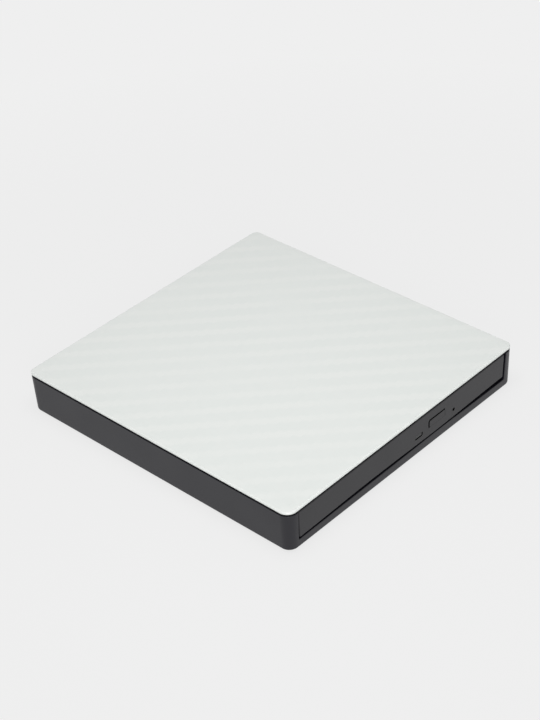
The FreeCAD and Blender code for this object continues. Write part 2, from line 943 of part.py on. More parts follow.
def make_drive_bottom_pan():
    """The pressed steel pan: floor, three walls, ejector bracket and openings."""
    outer = box(-pan_half, chassis_front, chassis_bottom, pan_half, pan_rear, cover_under)
    inner = box(-pan_inner, chassis_front - 1, pan_top, pan_inner, pan_inner_rear, cover_under + 1)
    pan = outer.cut(inner)
    plug_top = fixed_board_top + plug_height + chassis_gap
    left = plug_left - chassis_gap
    right = plug_right + chassis_gap
    notch = box(left, pan_inner_rear - 1, pan_top, right, pan_rear + 1, plug_top)
    cuts = [notch]
    z, stations = cover_screw_places()
    for y in stations:
        cuts.append(rod_x(cover_screw_radius + mould_clearance, -pan_half - 1, pan_half + 1, y, z))
    bracket_y = ejector_bracket_y()
    left = ejector_x - ejector_bracket_half
    right = ejector_x + ejector_bracket_half
    bracket_rear = bracket_y + ejector_bracket
    bracket_top = ejector_z + ejector_bracket_top
    bracket = box(left, bracket_y, pan_top - pan_thickness / 2, right, bracket_rear, bracket_top)
    pan = pan.cut(cuts).fuse(bracket)
    bore = rod_y(ejector_rod_radius + running_gap, bracket_y - 1, bracket_rear + 1, ejector_x, ejector_z)
    return on_drive(pan.cut(bore).removeSplitter())


def make_drive_top_cover():
    """The steel cover with skirts outside the pan's walls and a pressed ring."""
    plate = box(-chassis_half, chassis_front, cover_under, chassis_half, chassis_rear, chassis_top)
    skirt_low = cover_under - cover_skirt
    inner_half = chassis_half - cover_thickness
    inner_rear = chassis_rear - cover_thickness
    skirts = []
    for side in (-1, 1):
        x0, x1 = sorted((side * inner_half, side * chassis_half))
        skirts.append(box(x0, chassis_front, skirt_low, x1, chassis_rear, chassis_top))
    skirts.append(box(-chassis_half, inner_rear, skirt_low, chassis_half, chassis_rear, chassis_top))
    cover = plate.fuse(skirts)
    ring = disc(cover_ring_radius, chassis_top - cover_ring_depth, chassis_top + 1, 0, disc_y)
    ring = ring.cut(disc(cover_ring_radius - cover_ring_width, chassis_top - 1, chassis_top + 2, 0, disc_y))
    z, stations = cover_screw_places()
    cuts = [ring]
    for y in stations:
        cuts.append(rod_x(cover_screw_radius + mould_clearance, -chassis_half - 1, chassis_half + 1, y, z))
    return on_drive(cover.cut(cuts).removeSplitter())


def make_cover_screws():
    """Four short screws through the cover's skirts into the pan's walls."""
    z, stations = cover_screw_places()
    screws = []
    tip = pan_inner + narrow_gap
    for y in stations:
        for side in (-1, 1):
            outwards = V(side, 0, 0)
            start = V(side * tip, y, z)
            seat = V(side * chassis_half, y, z)
            shank = Part.makeCylinder(cover_screw_radius, chassis_half - tip + 0.1, start, outwards)
            head = Part.makeCylinder(cover_screw_head, cover_screw_head_height, seat, outwards)
            screws.append(on_drive(shank.fuse(head).removeSplitter()))
    return Part.makeCompound(screws)


def make_rail_guide(side):
    """A plastic channel on the pan's wall, open towards the tray."""
    outer_x = pan_inner
    inner_x_face = outer_x - guide_reach
    x0, x1 = sorted((side * inner_x_face, side * outer_x))
    body = box(x0, guide_start, pan_top, x1, guide_end, guide_top)
    g0, g1 = sorted((side * (inner_x_face - 1), side * (outer_x - guide_wall)))
    groove = box(g0, guide_start - 1, pan_top + guide_flange, g1, guide_end + 1, guide_top - guide_flange)
    return on_drive(body.cut(groove))


def make_slide_rail(side):
    """A folded steel channel between the guide and the tray's tongue."""
    x0, x1 = sorted((side * rail_inner, side * rail_outer))
    body = box(x0, guide_start, rail_low, x1, guide_end, rail_high)
    g0, g1 = sorted((side * (rail_inner - 1), side * (rail_outer - rail_sheet)))
    groove = box(g0, guide_start - 1, rail_low + rail_sheet, g1, guide_end + 1, rail_high - rail_sheet)
    return on_drive(body.cut(groove))


def make_drive_board():
    """The fixed board in the pan's rear left corner."""
    rear = pan_inner_rear - mould_clearance
    return on_drive(box(plug_left, guide_end + fixed_board_gap, pan_top, plug_right, rear, fixed_board_top))


def flex_clamp_front():
    """Where the flex cable's clamp on the fixed board begins."""
    return guide_end + fixed_board_gap + mould_clearance


def make_flex_connector():
    """The clamp on the fixed board that holds the flex cable's end."""
    front = flex_clamp_front()
    left = flex_left - flex_clamp_margin
    right = flex_right + flex_clamp_margin
    top = fixed_board_top + flex_clamp_height
    clamp = box(left, front, fixed_board_top, right, front + flex_clamp_depth, top)
    slot_low = fixed_board_top + flex_slot_lift
    slot_high = slot_low + flex_thickness + 2 * flex_slot_room
    left = flex_left - narrow_gap
    right = flex_right + narrow_gap
    slot = box(left, front - 1, slot_low, right, front + flex_grip, slot_high)
    return on_drive(clamp.cut(slot))


def ribbon(points, thickness, x0, x1):
    """A thin band across X whose side view follows (y, z) points."""
    upper = []
    lower = []
    half = thickness / 2
    for index, (y, z) in enumerate(points):
        before = points[max(index - 1, 0)]
        after = points[min(index + 1, len(points) - 1)]
        run = math.hypot(after[0] - before[0], after[1] - before[1])
        normal_y = -(after[1] - before[1]) / run
        normal_z = (after[0] - before[0]) / run
        upper.append(V(x0, y + normal_y * half, z + normal_z * half))
        lower.append(V(x0, y - normal_y * half, z - normal_z * half))
    outline = upper + lower[::-1]
    face = Part.Face(Part.makePolygon(outline + outline[:1]))
    return face.extrude(V(x1 - x0, 0, 0))


def make_flex_cable():
    """The flat cable between the fixed board and the tray's board, folded back once."""
    low = pan_top + flex_lift + flex_thickness / 2
    high = low + 2 * flex_fold_radius
    clamp_y = flex_clamp_front()
    clamp_z = fixed_board_top + flex_slot_lift + flex_slot_room + flex_thickness / 2
    fold_y = tray_board_front + flex_fold_offset - tray_travel / 2
    end_y = tray_board_front + flex_reach
    points = [
        (clamp_y + flex_tail, clamp_z),
        (clamp_y - flex_slope_start, clamp_z),
        (clamp_y - flex_slope_end, low),
        (fold_y, low),
    ]
    for step in range(1, flex_fold_steps):
        turn = math.radians(-90 - 180 * step / flex_fold_steps)
        y = fold_y + flex_fold_radius * math.cos(turn)
        points.append((y, low + flex_fold_radius * (1 + math.sin(turn))))
    points += [(fold_y, high), (end_y, high)]
    return on_drive(ribbon(points, flex_thickness, flex_left, flex_right))


def make_lock_post():
    """The steel pin in the pan that the latch hooks."""
    y = tray_front + post_from_front
    return on_drive(disc(post_pin_radius, pan_top, pan_top + post_height, post_x, y))


def ejector_slot_front():
    """The wall of the tray's slot that the plunger pushes."""
    return tray_rear - ejector_slot_length


def ejector_bracket_y():
    """Front face of the bracket that guides the plunger."""
    return ejector_slot_front() + ejector_bracket_gap


def ejector_collar_y():
    """Front face of the plunger's collar, one stroke behind the bracket."""
    return ejector_bracket_y() + ejector_bracket + ejector_stroke + ejector_collar_gap


def make_ejector_plunger():
    """The sprung rod that starts the tray on its way out."""
    tip = ejector_slot_front() + ejector_tip_gap
    collar = ejector_collar_y()
    collar_end = collar + ejector_collar_thickness
    rod = rod_y(ejector_rod_radius, tip, collar_end, ejector_x, ejector_z)
    ring = rod_y(ejector_collar_radius, collar, collar_end, ejector_x, ejector_z)
    stub = rod_y(ejector_stub_radius, collar, collar_end + ejector_stub_length, ejector_x, ejector_z)
    return on_drive(joined([rod, ring, stub]))


def make_ejector_spring():
    """A coil spring, pressed between the plunger's collar and the pan's rear wall."""
    start = ejector_collar_y() + ejector_collar_thickness + spring_wire / 2 + mould_clearance
    end = pan_inner_rear - spring_wire / 2 - mould_clearance
    pitch = (end - start) / spring_turns
    helix = Part.makeHelix(pitch, end - start, spring_radius)
    section = Part.Wire([Part.makeCircle(spring_wire / 2, V(spring_radius, 0, 0), V(0, 1, 0))])
    wire = Part.Wire(helix.Edges)
    coil = wire.makePipeShell([section], True, False)
    coil.rotate(V(0, 0, 0), V(1, 0, 0), -90)
    coil.translate(V(ejector_x, start, ejector_z))
    return on_drive(coil)


# Tray


def pocket_cut():
    """The hollows under the tray's four corners, outside the disc well's wall."""
    half = tray_half - rim_wall
    low = deck_under - 1
    pockets = box(-half, tray_front + rim_wall, low, half, tray_rear - rim_wall, pocket_top)
    pockets = pockets.cut(disc(well_radius + rim_wall, low - 1, pocket_top + 1, 0, disc_y))
    for x, y in scoop_places():
        pockets = pockets.cut(disc(scoop_radius + rim_wall, low - 1, pocket_top + 1, x, y))
    return pockets


def scoop_places():
    """Two finger scoops on the well's edge, front right and rear left."""
    places = []
    for angle in (-45.0, 135.0):
        turn = math.radians(angle)
        places.append((well_radius * math.cos(turn), disc_y + well_radius * math.sin(turn)))
    return places


def unit_polygon(rear, front, half, corner_sum):
    """A six-sided outline whose two outer corners are cut off by the tray's corner."""
    return [(-rear, -half), (-rear, half), (corner_sum - half, half), (front, corner_sum - front),
            (front, front - corner_sum), (corner_sum - half, -half)]


def tray_board_pins():
    """Where four pins hold the tray board, in drive coordinates."""
    rear = tray_board_rear - pin_inset
    front = tray_board_front + pin_inset
    return [
        (flex_right + board_pin_flex_gap, front),
        (tray_board_right - board_pin_side, front),
        (-board_pin_rear_reach, rear),
        (board_pin_rear_reach, rear),
    ]


def switch_board_pins():
    """Where two pins hold the switch board, with the height their posts reach."""
    y = tray_front + switch_pin_from_front
    left = switch_board_left + switch_pin_inset - drive_x
    right = switch_board_right - switch_pin_inset - drive_x
    return [(left, y, deck_under + 0.2), (right, y, pocket_top + 0.2)]


def stem_end():
    """Rear end of the button's stem at rest."""
    return bezel_back - stem_setback


def switch_front():
    """Tip of the switch's nub, just past the stem's full travel."""
    return stem_end() + button_travel + switch_gap


def switch_top():
    """Top of the switch's body, above the stem's axis."""
    return button_z + switch_cap


def make_tray():
    """The tray moulding with its disc well, corner hollows, tongues, posts and openings."""
    length = tray_rear - tray_front
    body = rounded_plate(tray_half, length / 2, tray_corner_radius, deck_under, rim_top)
    body.translate(V(0, (tray_front + tray_rear) / 2, 0))
    body = body.cut(disc(well_radius, deck_top, rim_top + 1, 0, disc_y))
    body = body.cut(pocket_cut())
    for x, y in scoop_places():
        body = body.cut(disc(scoop_radius, deck_top, rim_top + 1, x, y))

    adds = []
    for side in (-1, 1):
        y0 = tray_front + tongue_front_gap
        x0, x1 = sorted((side * web_inner, side * (web_inner + web_thickness)))
        adds.append(box(x0, y0, tongue_low, x1, guide_end, deck_under + 0.2))
        x0, x1 = sorted((side * web_inner, side * tongue_outer))
        adds.append(box(x0, y0, tongue_low, x1, guide_end, tongue_high))
    hook_front = bezel_front + bezel_wall + sheet_gap
    hook_low = deck_top + mould_clearance
    for side in (-1, 1):
        x0 = side * hook_reach - hook_width / 2
        adds.append(box(x0, hook_front, hook_low, x0 + hook_width, tray_front + 1, hook_low + hook_height))
    pin_low = pan_top + latch_lift - mould_clearance
    adds.append(disc(latch_pin_radius, pin_low, pocket_top + 0.2, latch_pivot_x, latch_pivot_y))
    for x, y in tray_board_pins():
        adds.append(disc(post_radius, tray_board_top, deck_under + 0.2, x, y))
        adds.append(disc(pin_radius, tray_board_top - pin_length, tray_board_top + 0.2, x, y))
    for x, y, high in switch_board_pins():
        adds.append(disc(post_radius, switch_board_top, high, x, y))
        adds.append(disc(pin_radius, switch_board_top - pin_length, switch_board_top + 0.2, x, y))
    body = body.fuse(adds)

    behind = tray_rear + 1
    rear_notch = box(-tray_half - 1, tray_rear - notch_depth, pan_top, notch_right, behind, rim_top + 1)
    slot_left = ejector_x - ejector_slot_half
    slot_right = ejector_x + ejector_slot_half
    slot = box(slot_left, ejector_slot_front(), pan_top, slot_right, behind, rim_top + 1)
    pocket_half = switch_width / 2 + switch_pocket_gap
    pocket_x = button_x - drive_x
    pocket_back = switch_front() + switch_nub + switch_depth + switch_pocket_gap
    pocket_high = switch_top() + switch_pocket_gap
    switch_pocket = box(pocket_x - pocket_half, tray_front - 1, deck_under - 1, pocket_x + pocket_half,
                        pocket_back, pocket_high)
    cuts = [rear_notch, slot, switch_pocket]
    body = on_drive(body.cut(cuts))
    window = unit_polygon(opening_rear, opening_front, opening_half_width, opening_corner_sum)
    holes = [on_unit(prism(window, deck_under - 1, deck_top))]
    for u, v in damper_places:
        hole = disc(damper_screw_radius + press_gap, deck_under - 0.1, deck_under + damper_screw_depth, u, v)
        holes.append(on_unit(hole))
    return body.cut(holes).removeSplitter()


def make_tray_bezel():
    """The front plate of the tray, hollow at the back, with its three openings."""
    half = bezel_half
    height = bezel_top - bezel_bottom
    middle_z = (bezel_top + bezel_bottom) / 2
    body = rounded_plate(half, height / 2, bezel_corner_radius, 0, bezel_thickness)
    body.rotate(V(0, 0, 0), V(1, 0, 0), 90)
    body.translate(V(0, bezel_back, middle_z))
    body = body.makeFillet(bezel_edge_radius, front_edges(body, bezel_front))
    rim = bezel_rim
    hollow = box(-half + rim, bezel_front + bezel_wall, bezel_bottom + rim, half - rim, bezel_back + 1,
                 bezel_top - rim)
    body = on_drive(body.cut(hollow))
    hole_x = button_width / 2 + button_gap
    hole_z = button_height / 2 + button_gap
    button_hole = box(button_x - hole_x, bezel_front - 1, button_z - hole_z, button_x + hole_x,
                      bezel_back, button_z + hole_z)
    lamp_hole = lamp_box(narrow_gap, bezel_front - 1, bezel_back)
    pinhole = rod_y(pinhole_radius, bezel_front - 1, bezel_back, pinhole_x, pinhole_z)
    return body.cut([button_hole, lamp_hole, pinhole]).removeSplitter()


def lamp_box(gap, y0, y1):
    """The indicator's opening, grown on every side by a gap."""
    x = lamp_width / 2 + gap
    z = lamp_height / 2 + gap
    return box(lamp_x - x, y0, lamp_z - z, lamp_x + x, y1, lamp_z + z)


def make_led_window():
    """The clear bar that carries the lamp's light to the front, with a stop behind the wall."""
    bar = lamp_box(0.0, bezel_front + lamp_recess, bezel_back - lamp_back_gap)
    stop_y = bezel_front + bezel_wall
    stop = lamp_box(lamp_stop, stop_y, stop_y + lamp_stop_thickness)
    return joined([bar, stop])


def make_eject_button():
    """The button's cap, the flange that keeps it in the bezel, and its stem."""
    front = bezel_front - button_proud
    wall_back = bezel_front + bezel_wall
    flange_front = wall_back + mould_clearance
    flange_back = flange_front + button_flange_thickness
    half_x = button_width / 2
    half_z = button_height / 2
    cap = box(button_x - half_x, front, button_z - half_z, button_x + half_x, flange_back, button_z + half_z)
    cap = cap.makeFillet(button_edge_radius, front_edges(cap, front))
    reach_x = half_x + button_flange
    reach_z = half_z + button_flange
    flange = box(button_x - reach_x, flange_front, button_z - reach_z, button_x + reach_x, flange_back,
                 button_z + reach_z)
    stem = rod_y(button_stem_radius, flange_back - 0.1, stem_end(), button_x, button_z)
    return joined([cap, flange, stem])


def make_switch_board():
    """The small board behind the bezel that carries the switch and the lamp."""
    x0 = switch_board_left
    x1 = switch_board_right
    y0 = tray_front + switch_board_front_gap
    board = box(x0, y0, switch_board_under, x1, y0 + switch_board_depth, switch_board_top)
    cuts = []
    hole = pin_radius + pin_hole_gap
    for x, y, high in switch_board_pins():
        cuts.append(disc(hole, switch_board_under - 1, switch_board_top + 1, x + drive_x, y))
    return board.cut(cuts)


def make_eject_switch():
    """The push switch that the button's stem presses."""
    front = switch_front()
    body_front = front + switch_nub
    half = switch_width / 2
    body_rear = body_front + switch_depth
    body = box(button_x - half, body_front, switch_board_top, button_x + half, body_rear, switch_top())
    nub = rod_y(switch_nub_radius, front, body_front + 0.2, button_x, button_z)
    return joined([body, nub])


def make_status_led():
    """The lamp that shines into the indicator window."""
    front = tray_front + switch_board_front_gap
    half = lamp_body_width / 2
    top = lamp_z + lamp_height / 2 + lamp_body_rise
    return box(lamp_x - half, front, switch_board_top, lamp_x + half, front + lamp_body_depth, top)


def make_tray_board():
    """The main board under the rear of the tray, with a step for the fixed connector."""
    outline = [(tray_board_left, tray_board_front), (tray_board_right, tray_board_front),
               (tray_board_right, tray_board_rear), (tray_board_step, tray_board_rear),
               (tray_board_step, tray_board_step_y), (tray_board_left, tray_board_step_y)]
    board = prism(outline, tray_board_under, tray_board_top)
    cuts = []
    for x, y in tray_board_pins():
        cuts.append(disc(pin_radius + pin_hole_gap, tray_board_under - 1, tray_board_top + 1, x, y))
    return on_drive(board.cut(cuts))


def make_drive_chips():
    """Chips on the underside of the tray board, and the flex cable's connector there."""
    top = tray_board_under
    flex_top = pan_top + flex_lift + flex_thickness + 2 * flex_fold_radius
    front = tray_board_front + flex_socket_inset
    left = flex_left - flex_socket_margin
    right = flex_right + flex_socket_margin
    pieces = [box(left, front, flex_top, right, front + flex_socket_depth, top)]
    for from_right, from_front, width, depth, height in chip_sizes:
        x = tray_board_right - from_right
        y = tray_board_front + from_front
        pieces.append(box(x, y, top - height, x + width, y + depth, top))
    return on_drive(Part.makeCompound(pieces))


def make_latch_solenoid():
    """The magnet that frees the latch, hung under the tray's front right corner."""
    y = tray_front + solenoid_from_front
    low = pan_top + latch_lift
    high = deck_under - solenoid_top_gap
    body = box(solenoid_left, y, low, solenoid_right, y + solenoid_depth, high)
    pin_y = y + solenoid_pin_from_front
    pin_end = solenoid_right + solenoid_pin_length
    pin = rod_x(solenoid_pin_radius, solenoid_right - 0.1, pin_end, pin_y, low + latch_plate / 2)
    return on_drive(joined([body, pin]))


def make_latch_lever():
    """The flat hook that holds the tray shut, shown turned free of its post."""
    x = latch_pivot_x
    y = latch_pivot_y
    low = pan_top + latch_lift
    high = low + latch_plate
    hub = disc(latch_hub_radius, low, high, x, y)
    arm_x = x - latch_arm_offset
    nose_y = y + latch_arm_length
    arm = box(arm_x, y, low, arm_x + latch_arm_width, nose_y, high)
    nose_low = nose_y - latch_nose_depth
    tip_x = x + latch_nose_reach
    root_x = x - latch_nose_root
    nose_tip = nose_low + latch_nose_tip
    nose = prism([(root_x, nose_low), (tip_x, nose_low), (tip_x, nose_tip), (root_x, nose_y)], low, high)
    tail_x = x - latch_tail_length
    root_low, root_high = latch_tail_root
    tip_low, tip_high = latch_tail_tip
    tail_outline = [(x, y + root_low), (x, y + root_high), (tail_x, y + tip_high), (tail_x, y + tip_low)]
    tail = prism(tail_outline, low, high)
    lever = joined([hub, arm, nose, tail])
    bore = disc(latch_pin_radius + running_gap, low - 1, high + 1, x, y)
    return on_drive(lever.cut(bore))


# Disc drive unit


def make_traverse_frame():
    """The steel frame with ears for the dampers, legs for the motor and shaft holders."""
    outline = unit_polygon(frame_rear, frame_front, frame_half_width, frame_corner_sum)
    plate = prism(outline, frame_under, frame_top)
    for u, v in damper_places:
        plate = plate.fuse(disc(ear_radius, frame_under, frame_top, u, v))
    window = unit_polygon(-window_start, window_end, window_half_width, window_corner_sum)
    window_cut = prism(window, frame_under - 5, frame_top + 1)
    motor_low = screw_z - stepper_half_height
    notch_v = stepper_radius + stepper_gap
    notch_rear = stepper_front - stepper_length - frame_notch_end
    notch = box(notch_rear, screw_offset - notch_v, motor_low, stepper_front + holder_gap,
                screw_offset + notch_v, frame_top + 1)
    plate = plate.cut([window_cut, disc(stator_hole, frame_under - 1, frame_top + 1), notch])
    for u, v in damper_places:
        plate = plate.cut(disc(damper_neck + mould_clearance, frame_under - 1, frame_top + 1, u, v))

    adds = []
    leg_inner = stator_hole + leg_gap
    for angle in (90, 180, 270):
        leg = box(leg_inner, -leg_width / 2, plate_top, leg_inner + leg_radial, leg_width / 2,
                  frame_under + 0.1)
        leg.rotate(V(0, 0, 0), UP, angle)
        adds.append(leg)
    holder_low = shaft_z - shaft_radius - holder_gap
    ring = prism(outline, holder_low, frame_under + 0.1).cut(window_cut)
    for side in (-1, 1):
        v0 = side * shaft_offset - holder_half_width
        v1 = side * shaft_offset + holder_half_width
        inner_end = window_start - holder_gap
        adds.append(box(inner_end - holder_length, v0, holder_low, inner_end, v1, frame_under + 0.1))
        adds.append(ring.common(box(window_end - 5, v0, holder_low, frame_front, v1, frame_under + 0.1)))
    inner_end = window_start - holder_gap
    tab = box(inner_end - holder_length, -shaft_offset - holder_half_width, frame_under,
              window_start + frame_tab_overlap, shaft_offset + holder_half_width, frame_top)
    tab = tab.cut([disc(stator_hole, frame_under - 1, frame_top + 1), window_cut])
    face = stepper_front + 0.1
    bracket = box(face, screw_offset - stepper_radius, motor_low, face + bracket_thickness,
                  screw_offset + stepper_radius, frame_under + 0.1)
    frame = plate.fuse(adds + [tab, bracket])
    bores = []
    for side in (-1, 1):
        v = side * shaft_offset
        bores.append(rod_x(shaft_radius + press_gap, shaft_start(), shaft_end(), v, shaft_z))
    screw_bore = lead_screw_radius + holder_gap
    bores.append(rod_x(screw_bore, stepper_front - 1, stepper_front + 2, screw_offset, screw_z))
    return on_unit(frame.cut(bores).removeSplitter())


def shaft_start():
    """Inner end of the guide shafts."""
    return window_start - holder_gap - holder_length + holder_end_wall


def shaft_end():
    """Outer end of the guide shafts."""
    return frame_corner_sum - shaft_offset - holder_front_gap


def make_traverse_cover():
    """The black plate that shows in the tray's window, with the keyhole for hub and lens."""
    gap = unit_cover_gap
    outline = unit_polygon(opening_rear - gap, opening_front - gap, opening_half_width - gap,
                           opening_corner_sum - slant_factor * gap)
    wall = unit_cover_thickness
    inset = gap + wall
    inner = unit_polygon(opening_rear - inset, opening_front - inset, opening_half_width - inset,
                         opening_corner_sum - slant_factor * inset)
    shell = prism(outline, frame_top, unit_cover_top)
    shell = shell.cut(prism(inner, frame_top - 1, unit_cover_top - wall))
    low = frame_top - 1
    high = unit_cover_top + 1
    slot = box(0, -slot_half_width, low, slot_end, slot_half_width, high)
    keyhole = [disc(turntable_hole, low, high), slot]
    notch_v = stepper_radius + stepper_gap
    notch_high = screw_z + stepper_half_height + holder_gap
    notch = box(-opening_rear - 1, screw_offset - notch_v, low, stepper_front + frame_tab_overlap,
                screw_offset + notch_v, notch_high)
    return on_unit(shell.cut(keyhole + [notch]).removeSplitter())


def make_damper(u, v):
    """A rubber spool that holds the frame's ear and keeps shaking off the tray."""
    low = frame_under - damper_gap - damper_flange
    high = frame_top + damper_gap + damper_flange
    spool = disc(damper_neck, low, high, u, v)
    lower = disc(damper_radius, low, low + damper_flange, u, v)
    upper = disc(damper_radius, high - damper_flange, high, u, v)
    body = joined([spool, lower, upper])
    return on_unit(body.cut(disc(damper_bore, low - 1, high + 1, u, v)))


def make_damper_screws():
    """Screws through the dampers into the tray's deck."""
    head_top = frame_under - damper_gap - damper_flange
    screws = []
    for u, v in damper_places:
        head = disc(damper_screw_head, head_top - damper_screw_head_height, head_top, u, v)
        shank = disc(damper_screw_radius, head_top - 0.1, deck_under + damper_screw_depth - 0.1, u, v)
        screws.append(on_unit(head.fuse(shank).removeSplitter()))
    return Part.makeCompound(screws)


def make_motor_stator():
    """The spindle motor's fixed half: base plate with ears, core and bearing tube."""
    low = under_low
    plate = disc(stator_radius, low, plate_top)
    ears = []
    ear_outer = stator_hole + leg_gap + leg_radial
    for angle in (90, 180, 270):
        ear = box(0, -leg_width / 2, low, ear_outer, leg_width / 2, plate_top)
        ear.rotate(V(0, 0, 0), UP, angle)
        ears.append(ear)
    core = disc(stator_core_radius, plate_top - 0.1, plate_top + stator_core_height)
    tube = disc(stator_tube_radius, plate_top - 0.1, plate_top + stator_tube_height)
    motor = joined([plate, core, tube] + ears)
    bore = disc(spindle_shaft_radius + running_gap, low + spindle_shaft_seat, plate_top + 10)
    return on_unit(motor.cut(bore))


def make_turntable():
    """The spindle's turning half: shaft, rotor cup and the table under the disc."""
    cup_low = plate_top + rotor_gap
    cup = disc(rotor_radius, cup_low, turntable_top)
    cup = cup.cut(disc(rotor_radius - rotor_wall, cup_low - 1, turntable_under - rotor_roof))
    table = disc(turntable_radius, turntable_under, turntable_top)
    shaft_low = under_low + spindle_shaft_seat + mould_clearance
    shaft = disc(spindle_shaft_radius, shaft_low, turntable_top + hub_shaft_height)
    return on_unit(joined([cup, table, shaft]))


def make_disc_pad():
    """The rubber ring that the disc rests on."""
    radius = turntable_radius - pad_inset
    ring = disc(radius, turntable_top, pad_top)
    return on_unit(ring.cut(disc(radius - pad_width, turntable_top - 1, pad_top + 1)))


def claw_angles():
    """Directions of the hub's claws, in the unit's own frame."""
    return [60.0 + index * 360.0 / claw_count for index in range(claw_count)]


def make_hub_cap():
    """The hub that centres the disc, with a slot for each claw."""
    body = disc(hub_radius, turntable_top, hub_top)
    body = body.makeFillet(hub_edge_radius, level_edges(body, hub_top))
    bore_top = turntable_top + hub_shaft_height + mould_clearance
    cuts = [disc(spindle_shaft_radius + press_gap, turntable_top - 1, bore_top)]
    for angle in claw_angles():
        low = turntable_top + claw_lift - claw_gap
        high = low + claw_height + 2 * claw_gap
        half = claw_width / 2 + claw_gap
        slot = box(claw_inner - claw_travel - claw_gap, -half, low, hub_radius + 1, half, high)
        slot.rotate(V(0, 0, 0), UP, angle)
        cuts.append(slot)
    return on_unit(body.cut(cuts).removeSplitter())


def make_hub_claw(angle):
    """A claw that stands a little out of the hub and gives way to the disc."""
    low = turntable_top + claw_lift
    high = low + claw_height
    outer = hub_radius + claw_reach
    claw = box(claw_inner, -claw_width / 2, low, outer + 1, claw_width / 2, high)
    nose = Part.makeCone(outer, outer - claw_slope, claw_height, V(0, 0, low), UP)
    claw = claw.common(nose)
    claw.rotate(V(0, 0, 0), UP, angle)
    return on_unit(claw)


def make_guide_shaft(side):
    """A polished steel rod that the pickup runs on."""
    start = shaft_start() + narrow_gap
    end = shaft_end() - narrow_gap
    return on_unit(rod_x(shaft_radius, start, end, side * shaft_offset, shaft_z))


def make_stepper_motor():
    """The small flat-sided motor that turns the lead screw."""
    body = rod_x(stepper_radius, stepper_front - stepper_length, stepper_front, screw_offset, screw_z)
    flat = box(stepper_front - stepper_length - 1, screw_offset - stepper_radius - 1,
               screw_z - stepper_half_height, stepper_front + 1, screw_offset + stepper_radius + 1,
               screw_z + stepper_half_height)
    return on_unit(body.common(flat))


def bearing_start():
    """Inner face of the lead screw's outer bearing."""
    return lens_outer - pickup_inner + nut_length + bearing_gap


def make_lead_screw():
    """The screw shaft beside the pickup."""
    start = bearing_start()
    journal_end = start + bearing_length - bearing_cap - narrow_gap
    journal = rod_x(lead_journal_radius, start - 0.1, journal_end, screw_offset, screw_z)
    body = rod_x(lead_screw_radius, stepper_front + press_gap, start - narrow_gap, screw_offset, screw_z)
    return on_unit(joined([body, journal]))


def make_screw_bearing():
    """The block that holds the lead screw's outer end, under the frame."""
    start = bearing_start()
    end = start + bearing_length
    half = bearing_half_width
    low = screw_z - half + bearing_drop
    block = box(start, screw_offset - half, low, end, screw_offset + half, frame_under)
    bore = rod_x(lead_journal_radius + running_gap, start - 1, end - bearing_cap, screw_offset, screw_z)
    return on_unit(block.cut(bore))


def make_pickup_housing():
    """The pickup's cast body with its shaft bores and the pocket for the lens carrier."""
    lens = lens_inner
    half = pickup_half_width
    outer = lens + pickup_outer
    shoulder = pickup_shoulder
    outline = [(lens - pickup_inner, -half), (lens - pickup_inner, half), (outer - shoulder, half),
               (outer, half - shoulder), (outer, shoulder - half), (outer - shoulder, -half)]
    body = prism(outline, under_low, pickup_top)
    length = lens_carrier_length / 2 + lens_carrier_gap
    width = lens_carrier_width / 2 + lens_carrier_gap
    pocket_low = carrier_low() - lens_focus_travel - holder_gap
    pocket = box(lens - length, -width, pocket_low, lens + length, width, pickup_top + 1)
    cuts = [pocket]
    for side in (-1, 1):
        v = side * shaft_offset
        cuts.append(rod_x(shaft_radius + running_gap, lens - pickup_inner - 1, outer + 1, v, shaft_z))
    return on_unit(body.cut(cuts))


def make_lead_nut():
    """The toothed block on the pickup's side that the screw drives."""
    start = lens_inner - pickup_inner
    outer = screw_offset + lead_screw_radius + nut_wall
    low = screw_z - lead_screw_radius - nut_floor
    block = box(start, pickup_half_width, low, start + nut_length, outer, frame_under - mould_clearance)
    bore = rod_x(lead_screw_radius + running_gap, start - 1, start + nut_length + 1, screw_offset, screw_z)
    return on_unit(block.cut(bore))


def carrier_low():
    """Underside of the lens carrier at rest."""
    return frame_top - lens_carrier_drop


def make_lens_carrier():
    """The frame that holds the lens and moves it up and down."""
    low = carrier_low()
    high = low + lens_carrier_height
    lens = lens_inner
    x = lens_carrier_length / 2
    y = lens_carrier_width / 2
    body = box(lens - x, -y, low, lens + x, y, high)
    return on_unit(body.cut(disc(lens_radius, low + lens_seat, high + 1, lens, 0)))


def make_objective_lens():
    """The lens, a disc with a domed top."""
    low = carrier_low() + lens_seat
    rim = carrier_low() + lens_carrier_height - lens_rim_drop
    lens = lens_inner
    radius = lens_radius - press_gap
    drum = disc(radius, low, rim, lens, 0)
    height = lens_rise
    ball_radius = (radius * radius + height * height) / (2 * height)
    ball = Part.makeSphere(ball_radius, V(lens, 0, rim + height - ball_radius))
    dome = ball.common(disc(radius, rim - 0.1, rim + height + 1, lens, 0))
    return on_unit(joined([drum, dome]))


